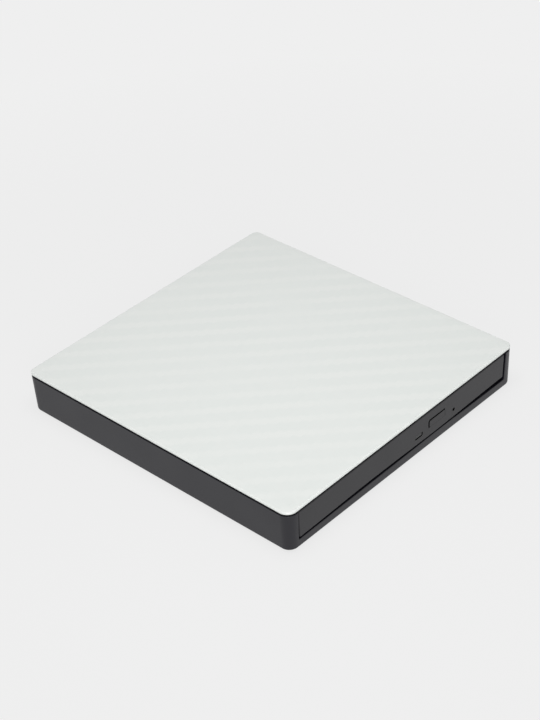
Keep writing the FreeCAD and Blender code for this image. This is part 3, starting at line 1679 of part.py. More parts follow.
def main():
    os.makedirs("parts", exist_ok=True)
    save("top_panel", make_top_panel())
    save("lid_liner", make_lid_liner())
    save("lower_case", make_lower_case())
    make_feet()
    save("case_screws", make_case_screws())
    save("bridge_board", make_bridge_board())
    save("bridge_components", make_bridge_components())
    save("usb_socket", make_usb_socket())
    save("usb_socket_tongue", make_usb_socket_tongue())
    save("sata_socket", make_sata_socket())
    save("sata_plug", make_sata_plug())

    save("drive_bottom_pan", make_drive_bottom_pan())
    save("drive_top_cover", make_drive_top_cover())
    save("cover_screws", make_cover_screws())
    for side, word in ((-1, "left"), (1, "right")):
        save("rail_guide_" + word, make_rail_guide(side))
        save("slide_rail_" + word, make_slide_rail(side))
    save("drive_board", make_drive_board())
    save("flex_connector", make_flex_connector())
    save("flex_cable", make_flex_cable())
    save("lock_post", make_lock_post())
    save("ejector_plunger", make_ejector_plunger())
    save("ejector_spring", make_ejector_spring())

    save("tray", make_tray())
    save("tray_bezel", make_tray_bezel())
    save("led_window", make_led_window())
    save("eject_button", make_eject_button())
    save("switch_board", make_switch_board())
    save("eject_switch", make_eject_switch())
    save("status_led", make_status_led())
    save("tray_board", make_tray_board())
    save("drive_chips", make_drive_chips())
    save("latch_solenoid", make_latch_solenoid())
    save("latch_lever", make_latch_lever())

    save("traverse_frame", make_traverse_frame())
    save("traverse_cover", make_traverse_cover())
    for word, (u, v) in zip(("right", "left", "rear"), damper_places):
        save("damper_" + word, make_damper(u, v))
    save("damper_screws", make_damper_screws())
    save("motor_stator", make_motor_stator())
    save("turntable", make_turntable())
    save("disc_pad", make_disc_pad())
    save("hub_cap", make_hub_cap())
    for number, angle in enumerate(claw_angles(), start=1):
        save("hub_claw_" + str(number), make_hub_claw(angle))
    save("guide_shaft_main", make_guide_shaft(1))
    save("guide_shaft_second", make_guide_shaft(-1))
    save("stepper_motor", make_stepper_motor())
    save("lead_screw", make_lead_screw())
    save("screw_bearing", make_screw_bearing())
    save("pickup_housing", make_pickup_housing())
    save("lead_nut", make_lead_nut())
    save("lens_carrier", make_lens_carrier())
    save("objective_lens", make_objective_lens())


main()
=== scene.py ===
import json
import math

import bmesh
import bpy
import numpy as np
from mathutils import Matrix, Vector


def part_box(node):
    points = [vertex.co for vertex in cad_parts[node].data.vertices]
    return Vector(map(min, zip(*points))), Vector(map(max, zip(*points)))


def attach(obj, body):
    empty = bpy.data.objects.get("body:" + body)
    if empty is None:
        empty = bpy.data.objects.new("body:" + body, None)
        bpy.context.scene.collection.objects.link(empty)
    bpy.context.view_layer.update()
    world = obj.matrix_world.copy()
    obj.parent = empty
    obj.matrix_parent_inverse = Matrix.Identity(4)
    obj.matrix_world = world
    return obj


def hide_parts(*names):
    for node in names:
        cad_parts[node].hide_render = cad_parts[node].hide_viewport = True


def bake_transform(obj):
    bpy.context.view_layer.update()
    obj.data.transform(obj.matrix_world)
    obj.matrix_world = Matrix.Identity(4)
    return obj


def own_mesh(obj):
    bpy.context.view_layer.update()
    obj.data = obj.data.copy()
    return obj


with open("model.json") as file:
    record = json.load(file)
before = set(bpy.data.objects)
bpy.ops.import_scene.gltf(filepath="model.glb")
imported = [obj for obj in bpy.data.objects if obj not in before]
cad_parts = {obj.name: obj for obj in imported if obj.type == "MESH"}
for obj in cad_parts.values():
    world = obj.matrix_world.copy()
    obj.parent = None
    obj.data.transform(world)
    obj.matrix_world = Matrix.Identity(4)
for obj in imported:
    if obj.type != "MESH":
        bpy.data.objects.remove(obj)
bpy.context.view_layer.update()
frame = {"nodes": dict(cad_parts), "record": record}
solids = frame["nodes"]
# Sizes are written in millimetres, and this turns them into the metres that Blender holds.
MM = 0.001

# Camera. A long lens three quarters of a metre off looks down at the corner between the front and
# the left wall. It is rolled a few degrees clockwise about its own line of sight.
AZIMUTH = math.radians(-45.484)
ELEVATION = math.radians(35.786)
ROLL = math.radians(-3.640)
DISTANCE = 744.458 * MM
TARGET = Vector((-0.806, -0.626, 19.397)) * MM
LENS = 88.78
SENSOR = 36.0
NEAREST = 10 * MM


def placed(name, data):
    """A new object over a mesh, lamp or camera, linked into the scene."""
    made = bpy.data.objects.new(name, data)
    bpy.context.scene.collection.objects.link(made)
    return made


back = Vector((
    math.sin(AZIMUTH) * math.cos(ELEVATION),
    -math.cos(AZIMUTH) * math.cos(ELEVATION),
    math.sin(ELEVATION),
))
level_right = (-back).cross(Vector((0, 0, 1))).normalized()
level_up = level_right.cross(-back)
right = level_right * math.cos(ROLL) + level_up * math.sin(ROLL)
up = level_up * math.cos(ROLL) - level_right * math.sin(ROLL)
aim = Matrix((right, up, back)).transposed()
camera = placed("camera", bpy.data.cameras.new("camera"))
camera.data.lens = LENS
camera.data.sensor_width = SENSOR
camera.data.clip_start = NEAREST
camera.matrix_world = Matrix.Translation(TARGET + back * DISTANCE) @ aim.to_4x4()
bpy.context.scene.camera = camera
bpy.context.scene.view_settings.view_transform = "Standard"


# Studio. Pale grey paper on the floor and the same grey behind it, a soft lamp high over the near
# half of the lid, and a wide one lower down before the near corner, which lights the walls. Lengths
# and places in this section are in metres.
PAPER = "efefef"
SKY_STRENGTH = 0.31
SHADOW_SHARE = 0.11
SHADOW_REACH = (0.11, 0.32)
FLOOR_REACH = 6.0
KEY_PLACE = (-0.046, -0.046, 0.45)
KEY_SIZE = 0.24
KEY_WATTS = 1.12
LOW_PLACE = (-0.60, -0.60, 0.31)
LOW_SIZE = 0.5
LOW_WATTS = 3.3


def linear(code):
    """Linear colour with alpha from an sRGB hex code: each channel follows the sRGB curve, which is
    straight near black and a power of 2.4 above."""
    values = [int(code[i:i + 2], 16) / 255 for i in (0, 2, 4)]
    return [v / 12.92 if v <= 0.04045 else ((v + 0.055) / 1.055) ** 2.4 for v in values] + [1.0]


def node(tree, kind, values=None, wires=None, **settings):
    """One shader node: its settings, the values of its sockets, and the outputs that feed them."""
    made = tree.nodes.new("ShaderNode" + kind)
    for name, value in settings.items():
        setattr(made, name, value)
    for socket, value in (values or {}).items():
        made.inputs[socket].default_value = value
    for socket, output in (wires or {}).items():
        tree.links.new(output, made.inputs[socket])
    return made


def start(name):
    """A new material with an empty tree, and the object's own coordinates in metres."""
    made = bpy.data.materials.new(name)
    made.use_nodes = True
    made.node_tree.nodes.clear()
    return made, made.node_tree, node(made.node_tree, "TexCoord").outputs["Object"]


def close(tree, shader, kind="OutputMaterial"):
    """Joins a shader to the tree's output."""
    tree.links.new(shader.outputs[0], tree.nodes.new("ShaderNode" + kind).inputs["Surface"])


def seen_directly(tree):
    """1 on a ray from the camera or one sent on by gloss or glass, otherwise 0."""
    path = node(tree, "LightPath").outputs
    either = node(tree, "Math", wires={0: path["Is Camera Ray"], 1: path["Is Glossy Ray"]},
                  operation="MAXIMUM")
    any_of = node(tree, "Math", wires={0: either.outputs[0], 1: path["Is Transmission Ray"]},
                  operation="MAXIMUM")
    return any_of.outputs[0]


world = bpy.data.worlds.new("studio")
bpy.context.scene.world = world
world.use_nodes = True
tree = world.node_tree
tree.nodes.clear()
shown = node(tree, "Background", {"Color": linear(PAPER), "Strength": 1.0})
sky = node(tree, "Background", {"Color": (1, 1, 1, 1), "Strength": SKY_STRENGTH})
mixed = node(tree, "MixShader", wires={0: seen_directly(tree), 1: sky.outputs[0], 2: shown.outputs[0]})
close(tree, mixed, "OutputWorld")

floor_mesh = bpy.data.meshes.new("floor")
floor_corners = [(-FLOOR_REACH, -FLOOR_REACH, 0), (FLOOR_REACH, -FLOOR_REACH, 0),
                 (FLOOR_REACH, FLOOR_REACH, 0), (-FLOOR_REACH, FLOOR_REACH, 0)]
floor_mesh.from_pydata(floor_corners, [], [(0, 1, 2, 3)])
floor = placed("floor", floor_mesh)
paper, tree, place = start("matte_grey_paper")
matte = node(tree, "BsdfDiffuse", {"Color": linear(PAPER)})
flat = node(tree, "Emission", {"Color": linear(PAPER), "Strength": 1.0})
away = node(tree, "VectorMath", wires={0: place}, operation="LENGTH")
near = node(tree, "MapRange", {"From Min": SHADOW_REACH[0], "From Max": SHADOW_REACH[1],
                               "To Min": 1 - SHADOW_SHARE, "To Max": 1.0},
            {"Value": away.outputs["Value"]})
share = node(tree, "Math", wires={0: seen_directly(tree), 1: near.outputs[0]}, operation="MULTIPLY")
mixed = node(tree, "MixShader", wires={0: share.outputs[0], 1: matte.outputs[0], 2: flat.outputs[0]})
close(tree, mixed)
floor_mesh.materials.append(paper)

for name, size, watts, spot, mirrored in (("key_lamp", KEY_SIZE, KEY_WATTS, KEY_PLACE, False),
                                          ("low_lamp", LOW_SIZE, LOW_WATTS, LOW_PLACE, True)):
    light = bpy.data.lights.new(name, "AREA")
    light.size = size
    light.energy = watts
    lamp = placed(name, light)
    lamp.location = spot
    lamp.rotation_euler = (-Vector(spot)).to_track_quat("-Z", "Y").to_euler()
    lamp.visible_glossy = mirrored


# Lower case. A tub of black ABS moulded in one shot: drafted walls, round corners, and a front cut
# down to a low lip that stands a little higher right of its middle. Its fine spark-eroded grain
# gives it a satin look.
CASE_EDGE = 0.22
CASE_COLOUR = "14131b"
LIP_TOP = 5.1
LIP_FRONT = -71.9
LIP_CUTS = (-60, 60, 21)
LIP_STATIONS = [-66.0, -53.5, -44.1, -24.8, -4.9, 5.3, 15.7, 26.2, 36.9, 47.8, 64.0]
LIP_HEIGHTS = [4.72, 4.8, 4.88, 5.0, 5.08, 5.18, 5.32, 5.34, 5.06, 4.88, 4.74]
OPENING_RIGHT = 63.85
OPENING_WIDER = (0.8, 1.4)
OPENING_SPAN = (5.1, 18.3)
ON_PLACE = 0.02
WELD = 0.0005
NODE_WELD = 0.001
ONE_FACE = 0.6
SHARP_ANGLE = 40
PLASTIC_IOR = 1.5
PIT_DEPTH = 0.05
SHEEN_DRIFT = 18.0
SHEEN_SPREAD = 0.05

record = frame["record"]
body_of = {name: body for body, names in record["behaviour"]["bodies"].items() for name in names}


def moulded(name, colour, roughness, grain, depth, mottle=0.12, gloss=0.5):
    """Moulded plastic: an even grain of that width in millimetres, slightly darker in its pits, and a
    sheen that wanders by a few hundredths over a couple of centimetres."""
    made, tree, place = start(name)
    pits = node(tree, "TexNoise", {"Scale": 1 / (grain * MM), "Detail": 3.0}, {"Vector": place})
    flow = node(tree, "TexNoise", {"Scale": 1 / (SHEEN_DRIFT * MM), "Detail": 1.0}, {"Vector": place})
    base = linear(colour)
    dark = [c * (1 - mottle) for c in base[:3]] + [1.0]
    tint = node(tree, "Mix", {6: dark, 7: base}, {0: pits.outputs[0]}, data_type="RGBA")
    sheen = node(tree, "MapRange", {"To Min": roughness - SHEEN_SPREAD,
                                    "To Max": roughness + SHEEN_SPREAD}, {"Value": flow.outputs[0]})
    bump = node(tree, "Bump", {"Strength": depth, "Distance": PIT_DEPTH * MM}, {"Height": pits.outputs[0]})
    close(tree, node(tree, "BsdfPrincipled", {"IOR": PLASTIC_IOR, "Specular IOR Level": gloss}, {
        "Base Color": tint.outputs[2], "Roughness": sheen.outputs[0], "Normal": bump.outputs[0]}))
    return made


def soften(piece, edge):
    """Rounds every sharp edge by a width in millimetres and lets the flat faces rule the shading."""
    if edge:
        bevel = piece.modifiers.new("soft_edges", "BEVEL")
        bevel.width = edge * MM
        bevel.segments = 2
        bevel.limit_method = "ANGLE"
        bevel.angle_limit = math.radians(SHARP_ANGLE)
        bevel.use_clamp_overlap = False
        bevel.miter_outer = "MITER_ARC"
    even = piece.modifiers.new("even_faces", "WEIGHTED_NORMAL")
    even.keep_sharp = not edge


def closed_mesh(title, shape):
    """A mesh from points in millimetres and faces, its double points joined and its faces turned out."""
    points, faces = shape
    mesh = bpy.data.meshes.new(title)
    mesh.from_pydata((np.asarray(points) * MM).tolist(), [], faces)
    work = bmesh.new()
    work.from_mesh(mesh)
    bmesh.ops.remove_doubles(work, verts=work.verts, dist=WELD * MM)
    bmesh.ops.recalc_face_normals(work, faces=work.faces)
    work.to_mesh(mesh)
    work.free()
    return mesh


def cut_out(piece, shapes):
    """Takes closed shapes, given in millimetres, out of a piece."""
    helpers = []
    for shape in shapes:
        helper = placed("cutter", closed_mesh("cutter", shape))
        helpers.append(helper)
        cut = piece.modifiers.new("cut", "BOOLEAN")
        cut.object = helper
        cut.solver = "EXACT"
    graph = bpy.context.evaluated_depsgraph_get()
    old = piece.data
    piece.data = bpy.data.meshes.new_from_object(piece.evaluated_get(graph))
    piece.modifiers.clear()
    bpy.data.meshes.remove(old)
    for helper in helpers:
        mesh = helper.data
        bpy.data.objects.remove(helper)
        bpy.data.meshes.remove(mesh)


def dress(piece, material, names, edge, sharp=SHARP_ANGLE, rides=True):
    """Gives a piece its material, edges and body, and lets it stand for the named solids."""
    piece.data.materials.clear()
    piece.data.materials.append(material)
    piece.data.shade_smooth()
    if not edge:
        piece.data.set_sharp_from_angle(angle=math.radians(sharp))
    soften(piece, edge)
    if rides:
        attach(piece, body_of[names[0]])
    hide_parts(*names)
    return piece


def finished(name, material, edge, title=None, shape=None, cuts=()):
    """A piece made over one solid: its triangles joined to whole faces, its shape adjusted and cut
    where that is asked, and its edges softened."""
    mesh = solids[name].data.copy()
    mesh.transform(solids[name].matrix_world)
    work = bmesh.new()
    work.from_mesh(mesh)
    bmesh.ops.remove_doubles(work, verts=work.verts, dist=NODE_WELD * MM)
    bmesh.ops.dissolve_limit(work, angle_limit=math.radians(ONE_FACE), verts=work.verts, edges=work.edges)
    if shape:
        shape(work)
    work.to_mesh(mesh)
    work.free()
    for layer in list(mesh.uv_layers):
        mesh.uv_layers.remove(layer)
    piece = placed(title or name + "_piece", mesh)
    if cuts:
        cut_out(piece, cuts)
    return dress(piece, material, [name], edge)


def slice_front(work, behind, cuts):
    """Cuts the faces in front of a plane across Y, so that they can bend, at even stations along X:
    the cuts give the first, the last and how many."""
    for x in np.linspace(*cuts):
        faces = [f for f in work.faces if all(v.co.y < behind * MM for v in f.verts)]
        parts = set(faces) | {e for f in faces for e in f.edges} | {v for f in faces for v in f.verts}
        bmesh.ops.bisect_plane(work, geom=list(parts), plane_co=(x * MM, 0, 0), plane_no=(1, 0, 0),
                               dist=NODE_WELD * MM)


def at(value, place):
    """Whether a coordinate in metres is, to a fiftieth of a millimetre, at a place in millimetres."""
    return abs(value - place * MM) < ON_PLACE * MM


def bow_lip(work):
    """Lifts the lip's upper face to its height along X, and sets the opening's right edge further out,
    most at its top."""
    slice_front(work, LIP_FRONT, LIP_CUTS)
    for v in work.verts:
        in_front = v.co.y < LIP_FRONT * MM
        if in_front and at(v.co.x, OPENING_RIGHT):
            v.co.x += np.interp(v.co.z / MM, OPENING_SPAN, OPENING_WIDER) * MM
        if in_front and at(v.co.z, LIP_TOP):
            v.co.z = np.interp(v.co.x / MM, LIP_STATIONS, LIP_HEIGHTS) * MM


case_abs = moulded("satin_black_abs", CASE_COLOUR, roughness=0.42, grain=0.35, depth=0.22, gloss=0.46)
finished("lower_case", case_abs, edge=CASE_EDGE, title="case_tub", shape=bow_lip)


# Feet. Four discs of black rubber glued into shallow recesses of the underside, with a soft rim
# and a moulded dimple that grips the table.
FOOT_RADIUS = 4.5
FOOT_HEIGHT = 1.2
FOOT_RIM = 0.4
FOOT_DIMPLE = [(0.8, 0.16), (2.0, 0.12), (2.8, 0.03), (3.2, 0.0)]


def skin(rings):
    """Closed mesh over closed loops of equal count: quads join each point to its neighbour and to the
    loop after, and a face caps the first and the last loop."""
    rings = np.asarray(rings, float)
    rows, count = rings.shape[:2]
    index = np.arange(rows * count).reshape(rows, count)
    after = np.roll(index, -1, axis=1)
    faces = np.stack((index[:-1], after[:-1], after[1:], index[1:]), axis=-1).reshape(-1, 4).tolist()
    faces.append(index[0, ::-1].tolist())
    faces.append(index[-1].tolist())
    return rings.reshape(-1, 3), faces


def turned(profile, centre, count=48):
    """Body of revolution about Z: each (radius, height) of the profile, from its lower end to its
    upper one, carried round a full circle about a centre."""
    angle = np.linspace(0, 2 * math.pi, count, endpoint=False)
    radius, height = np.asarray(profile, float).T
    x = centre[0] + radius[:, None] * np.cos(angle)
    y = centre[1] + radius[:, None] * np.sin(angle)
    return skin(np.stack((x, y, np.broadcast_to(height[:, None], x.shape)), axis=-1))


def built(title, shape, material, names, sharp=SHARP_ANGLE, rides=True):
    """A closed piece from points in millimetres and faces, which stands for the named solids."""
    piece = placed(title, closed_mesh(title, shape))
    return dress(piece, material, names, edge=0.0, sharp=sharp, rides=rides)


def corners(name):
    """Lowest and highest corner of a solid's box, in millimetres."""
    return np.array(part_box(name)) / MM


def middle(name):
    """Centre of a solid's box, in millimetres."""
    low, high = np.array(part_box(name))
    return (low + high) / 2 / MM


rubber = moulded("matte_black_rubber", "1a1a1a", roughness=0.78, grain=0.25, depth=0.3, mottle=0.2)
bend = np.linspace(0, math.pi / 2, 5)
rim_radius = FOOT_RADIUS - FOOT_RIM + FOOT_RIM * np.sin(bend)
rim_height = FOOT_RIM - FOOT_RIM * np.cos(bend)
foot_profile = FOOT_DIMPLE + np.column_stack((rim_radius, rim_height)).tolist()
foot_profile += [(FOOT_RADIUS, FOOT_HEIGHT), (FOOT_DIMPLE[0][0], FOOT_HEIGHT)]
for corner in ("front_left", "front_right", "rear_left", "rear_right"):
    name = "foot_" + corner
    built("rubber_" + name, turned(foot_profile, middle(name)[:2]), rubber, [name])


# Bridge board. Glass-fibre board with copper tracks under green lacquer, on two pins behind the
# drive. It carries a black chip, a crystal, a coil and a row of ceramic capacitors.
LACQUER = "0c4a2a"
LACQUERED_COPPER = "1d6b3f"
TIN = "c9c4b4"
TRACK_WIDTH = 0.11
TRACK_PITCH = 0.75
TRACK_RUN = 2.9
TRACK_HEIGHT = 0.04
TRACK_PATCH = 5.0
HOLE_PITCH = 3.2
HOLE_SHARE = 0.085


def lacquered_board(name):
    """Green lacquer: copper tracks show lighter and a little proud, tinned holes as bright dots."""
    made, tree, place = start(name)
    tracks = node(tree, "TexBrick", {"Scale": 1 / MM, "Mortar Size": TRACK_WIDTH, "Mortar Smooth": 0.3,
                                     "Brick Width": TRACK_RUN, "Row Height": TRACK_PITCH},
                  {"Vector": place})
    patch = node(tree, "TexNoise", {"Scale": 1 / (TRACK_PATCH * MM), "Detail": 0.0}, {"Vector": place})
    here = node(tree, "Math", {1: 0.5}, {0: patch.outputs[0]}, operation="GREATER_THAN")
    drawn = node(tree, "Math", wires={0: tracks.outputs["Fac"], 1: here.outputs[0]}, operation="MULTIPLY")
    green = node(tree, "Mix", {6: linear(LACQUER), 7: linear(LACQUERED_COPPER)}, {0: drawn.outputs[0]},
                 data_type="RGBA")
    holes = node(tree, "TexVoronoi", {"Scale": 1 / (HOLE_PITCH * MM)}, {"Vector": place},
                 voronoi_dimensions="2D")
    dot = node(tree, "Math", {1: HOLE_SHARE}, {0: holes.outputs["Distance"]}, operation="LESS_THAN")
    tint = node(tree, "Mix", {7: linear(TIN)}, {0: dot.outputs[0], 6: green.outputs[2]}, data_type="RGBA")
    bump = node(tree, "Bump", {"Strength": 0.35, "Distance": TRACK_HEIGHT * MM},
                {"Height": drawn.outputs[0]})
    close(tree, node(tree, "BsdfPrincipled", {"Roughness": 0.3, "IOR": 1.5, "Coat Weight": 0.4}, {
        "Base Color": tint.outputs[2], "Metallic": dot.outputs[0], "Normal": bump.outputs[0]}))
    return made


board_green = lacquered_board("green_lacquered_board")
chip_black = moulded("black_epoxy_chip", "19191b", roughness=0.5, grain=0.12, depth=0.15)
finished("bridge_board", board_green, edge=0.08)
finished("bridge_components", chip_black, edge=0.1)


# Inlet. A shell drawn from thin steel and plated bright, soldered to the bridge board, with a black
# nylon tongue that carries gilded contacts on both faces.
LINE_LENGTH = 45
LINE_HEIGHT = 0.02
CLOUD_SIZE = 14.0
CLOUD_DULL = 0.86
NYLON = "18181a"
GILT = "d8b25a"
STRIP_SHARE = 0.5
LEVEL_ENOUGH = 0.8
INLET_PITCH = 0.5
PLUG_PITCH = 1.27


def drawn_steel(name, colour, roughness, line, along, spread=0.06, depth=0.12):
    """Rolled or drawn steel: fine lines of that width in millimetres run along one axis, and the
    gloss wanders with them and with a cloud of a centimetre or two."""
    made, tree, place = start(name)
    stretch = [1 / (line * MM)] * 3
    stretch[along] = 1 / (line * LINE_LENGTH * MM)
    lines = node(tree, "VectorMath", {1: stretch}, {0: place}, operation="MULTIPLY")
    grain = node(tree, "TexNoise", {"Scale": 1.0, "Detail": 2.0}, {"Vector": lines.outputs[0]})
    cloud = node(tree, "TexNoise", {"Scale": 1 / (CLOUD_SIZE * MM), "Detail": 2.0}, {"Vector": place})
    mixed = node(tree, "Math", wires={0: grain.outputs[0], 1: cloud.outputs[0]}, operation="MULTIPLY")
    sheen = node(tree, "MapRange", {"From Max": 0.5, "To Min": roughness - spread,
                                    "To Max": roughness + spread}, {"Value": mixed.outputs[0]})
    base = linear(colour)
    dull = [c * CLOUD_DULL for c in base[:3]] + [1.0]
    tint = node(tree, "Mix", {6: dull, 7: base}, {0: cloud.outputs[0]}, data_type="RGBA")
    bump = node(tree, "Bump", {"Strength": depth, "Distance": LINE_HEIGHT * MM},
                {"Height": grain.outputs[0]})
    close(tree, node(tree, "BsdfPrincipled", {"Metallic": 1.0}, {
        "Base Color": tint.outputs[2], "Roughness": sheen.outputs[0], "Normal": bump.outputs[0]}))
    return made


def contact_rows(name, pitch):
    """Black nylon with gilded strips at a pitch in millimetres along X, on its level faces only."""
    made, tree, place = start(name)
    axes = node(tree, "SeparateXYZ", wires={0: place})
    step = node(tree, "Math", {1: pitch * MM}, {0: axes.outputs[0]}, operation="FLOORED_MODULO")
    strip = node(tree, "Math", {1: pitch * STRIP_SHARE * MM}, {0: step.outputs[0]}, operation="LESS_THAN")
    facing = node(tree, "SeparateXYZ", wires={0: node(tree, "NewGeometry").outputs["Normal"]})
    level = node(tree, "Math", wires={0: facing.outputs[2]}, operation="ABSOLUTE")
    flat = node(tree, "Math", {1: LEVEL_ENOUGH}, {0: level.outputs[0]}, operation="GREATER_THAN")
    gilt = node(tree, "Math", wires={0: strip.outputs[0], 1: flat.outputs[0]}, operation="MULTIPLY")
    tint = node(tree, "Mix", {6: linear(NYLON), 7: linear(GILT)}, {0: gilt.outputs[0]}, data_type="RGBA")
    sheen = node(tree, "MapRange", {"To Min": 0.5, "To Max": 0.25}, {"Value": gilt.outputs[0]})
    close(tree, node(tree, "BsdfPrincipled", wires={
        "Base Color": tint.outputs[2], "Metallic": gilt.outputs[0], "Roughness": sheen.outputs[0]}))
    return made


bright_steel = drawn_steel("bright_plated_steel", "c6c8ca", roughness=0.24, line=0.05, along=1)
contacts = contact_rows("nylon_with_gilt_contacts", INLET_PITCH)
plug_nylon = contact_rows("black_plug_nylon", PLUG_PITCH)
finished("usb_socket", bright_steel, edge=0.06)
finished("usb_socket_tongue", contacts, edge=0.06)
finished("sata_socket", plug_nylon, edge=0.12)
finished("sata_plug", plug_nylon, edge=0.12)


# Bottom pan. Zinc-coated sheet, pressed to a floor and three walls, with a lug for the ejector.
# The rolling lines run from front to rear.
sheet_steel = drawn_steel("zinc_coated_sheet", "b4b8ba", roughness=0.38, line=0.09, along=1)
finished("drive_bottom_pan", sheet_steel, edge=0.14)


# Rail guides. A moulded channel of white acetal on each side wall of the pan, open towards the tray,
# in which the steel rail runs.
acetal = moulded("white_acetal", "e6e3da", roughness=0.36, grain=0.3, depth=0.08, mottle=0.03)
finished("rail_guide_left", acetal, edge=0.12)
finished("rail_guide_right", acetal, edge=0.12)


# Fixed board and clamp. A small board in the pan's rear left corner with the drive's plug on it,
# and a black clamp that holds the end of the flat cable.
finished("drive_board", board_green, edge=0.06)
finished("flex_connector", chip_black, edge=0.1)


# Flat cable. Copper tracks between two films of amber polyimide, folded back once under the tray.
# Its lower run stays with the case, and its upper run rides with the tray.
FLEX_THICK = 0.12
FLEX_LIFT = 0.03
FLEX_FOLD = 0.24
FLEX_IN_CLAMP = 1.5
FLEX_DROP = (0.3, 1.2, 2.1, 3.0)
FLEX_SAG = (0.35, 0.12)
FLEX_FLAT = (6.0, 2.0)
FLEX_UNDER_BOARD = 4.5
FLEX_POINTS = 12
FILM = "c07a2c"
FILMED_COPPER = "8a4a1c"
FILM_WAVE = 0.314
FILM_TRACK_HEIGHT = 0.03


def tracked_film(name):
    """Amber film: dark copper tracks a millimetre apart run along Y and stand a little proud. The
    wave's period is its constant, 0.314, over its scale."""
    made, tree, place = start(name)
    wave = node(tree, "TexWave", {"Scale": FILM_WAVE / MM}, {"Vector": place}, wave_type="BANDS",
                bands_direction="X")
    track = node(tree, "Math", {1: 0.45}, {0: wave.outputs["Fac"]}, operation="GREATER_THAN")
    tint = node(tree, "Mix", {6: linear(FILM), 7: linear(FILMED_COPPER)}, {0: track.outputs[0]},
                data_type="RGBA")
    bump = node(tree, "Bump", {"Strength": 0.4, "Distance": FILM_TRACK_HEIGHT * MM},
                {"Height": track.outputs[0]})
    close(tree, node(tree, "BsdfPrincipled", {"Roughness": 0.32, "IOR": 1.6, "Coat Weight": 0.5},
                     {"Base Color": tint.outputs[2], "Normal": bump.outputs[0]}))
    return made


def band(path, thick, x0, x1):
    """Flat ribbon: a path of (y, z) points gets a rectangle across X at each, square to the path."""
    path = np.asarray(path, float)
    run = np.gradient(path, axis=0)
    run /= np.linalg.norm(run, axis=1)[:, None]
    side = np.stack((-run[:, 1], run[:, 0]), axis=1) * thick / 2
    upper, lower = path + side, path - side
    rows = []
    for x, edge in ((x0, lower), (x1, lower), (x1, upper), (x0, upper)):
        rows.append(np.column_stack((np.full(len(path), x), edge)))
    return skin(np.stack(rows, axis=1))


low, high = corners("flex_cable")
board_front = corners("tray_board")[0][1]
pan_floor = corners("lock_post")[0][2]
clamp_y = corners("flex_connector")[0][1]
run_low = pan_floor + FLEX_LIFT + FLEX_THICK / 2
run_high = run_low + 2 * FLEX_FOLD
fold_y = low[1] + FLEX_FOLD + FLEX_THICK / 2
clamp_z = high[2] - FLEX_THICK / 2
upper_end = board_front + FLEX_UNDER_BOARD
bend = np.radians(np.linspace(90, 270, 9))[::-1]
fold_z = run_low + FLEX_FOLD + FLEX_FOLD * np.sin(bend)
fold = np.column_stack((fold_y + FLEX_FOLD * np.cos(bend), fold_z))
leaves, falls, lands, lies = clamp_y - np.array(FLEX_DROP)
lower_path = [(clamp_y + FLEX_IN_CLAMP, clamp_z), (leaves, clamp_z), (falls, clamp_z - FLEX_SAG[0]),
              (lands, run_low + FLEX_SAG[1]), (lies, run_low)]
flat_run = np.linspace(clamp_y - FLEX_FLAT[0], fold_y + FLEX_FLAT[1], FLEX_POINTS)
lower_path += [(y, run_low) for y in flat_run] + fold.tolist()
flex_film = tracked_film("amber_polyimide_film")
lower_run = built("flat_cable_lower_run", band(lower_path, FLEX_THICK, low[0], high[0]), flex_film,
                  ["flex_cable"], rides=False)
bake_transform(lower_run)
upper_path = [(y, run_high) for y in np.linspace(fold_y, upper_end, FLEX_POINTS)]
upper_run = built("flat_cable_upper_run", band(upper_path, FLEX_THICK, low[0], high[0]), flex_film,
                  ["flex_cable"], rides=False)
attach(upper_run, "tray_unit")
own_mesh(upper_run)


# Ejector. A turned acetal rod with a collar, and a coil spring of bright wire behind it that is
# pressed between the collar and the pan's rear wall.
SPRING_WIRE = 0.4
SPRING_RADIUS = 1.9
SPRING_TURNS = 4
SPRING_FLAT = 0.4
SPRING_STEPS = 28
SPRING_ROUND = 10


def coil(centre, radius, wire, start_y, end_y, turns):
    """Wire on a helix about Y: an oval is carried along it, square to it. The oval is flat along Y."""
    share = np.linspace(0, 1, turns * SPRING_STEPS + 1)[:, None]
    swing = 2 * math.pi * turns * share
    climb = (end_y - start_y) / (2 * math.pi * turns)
    around = np.linspace(0, 2 * math.pi, SPRING_ROUND, endpoint=False)
    slant = math.atan2(climb, radius)
    out = radius + wire / 2 * np.cos(around)
    aside = SPRING_FLAT * wire / 2 * np.sin(around)
    x = centre[0] + out * np.cos(swing) + aside * math.sin(slant) * np.sin(swing)
    z = centre[1] + out * np.sin(swing) - aside * math.sin(slant) * np.cos(swing)
    y = start_y + (end_y - start_y) * share + aside * math.cos(slant)
    return skin(np.stack((x, y, z), axis=-1))


wire_steel = drawn_steel("bright_spring_wire", "c9cbcd", roughness=0.22, line=0.08, along=1)
finished("ejector_plunger", acetal, edge=0.12)
low, high = corners("ejector_spring")
spring_centre = ((low[0] + high[0]) / 2, (low[2] + high[2]) / 2)
spring_coil = coil(spring_centre, SPRING_RADIUS, SPRING_WIRE,
                   low[1] + SPRING_WIRE / 2, high[1] - SPRING_WIRE / 2, SPRING_TURNS)
spring = built("coil_spring", spring_coil, wire_steel, ["ejector_spring"], rides=False)
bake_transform(spring)
finished("lock_post", wire_steel, edge=0.1)


# Telescopic rails. Channels rolled from bright steel strip, one each side, that run in the acetal
# guides and carry the tray's tongues. They shine where they rub.
rail_steel = drawn_steel("burnished_rail_strip", "c2c4c6", roughness=0.26, line=0.06, along=1)
finished("slide_rail_left", rail_steel, edge=0.1)
finished("slide_rail_right", rail_steel, edge=0.1)


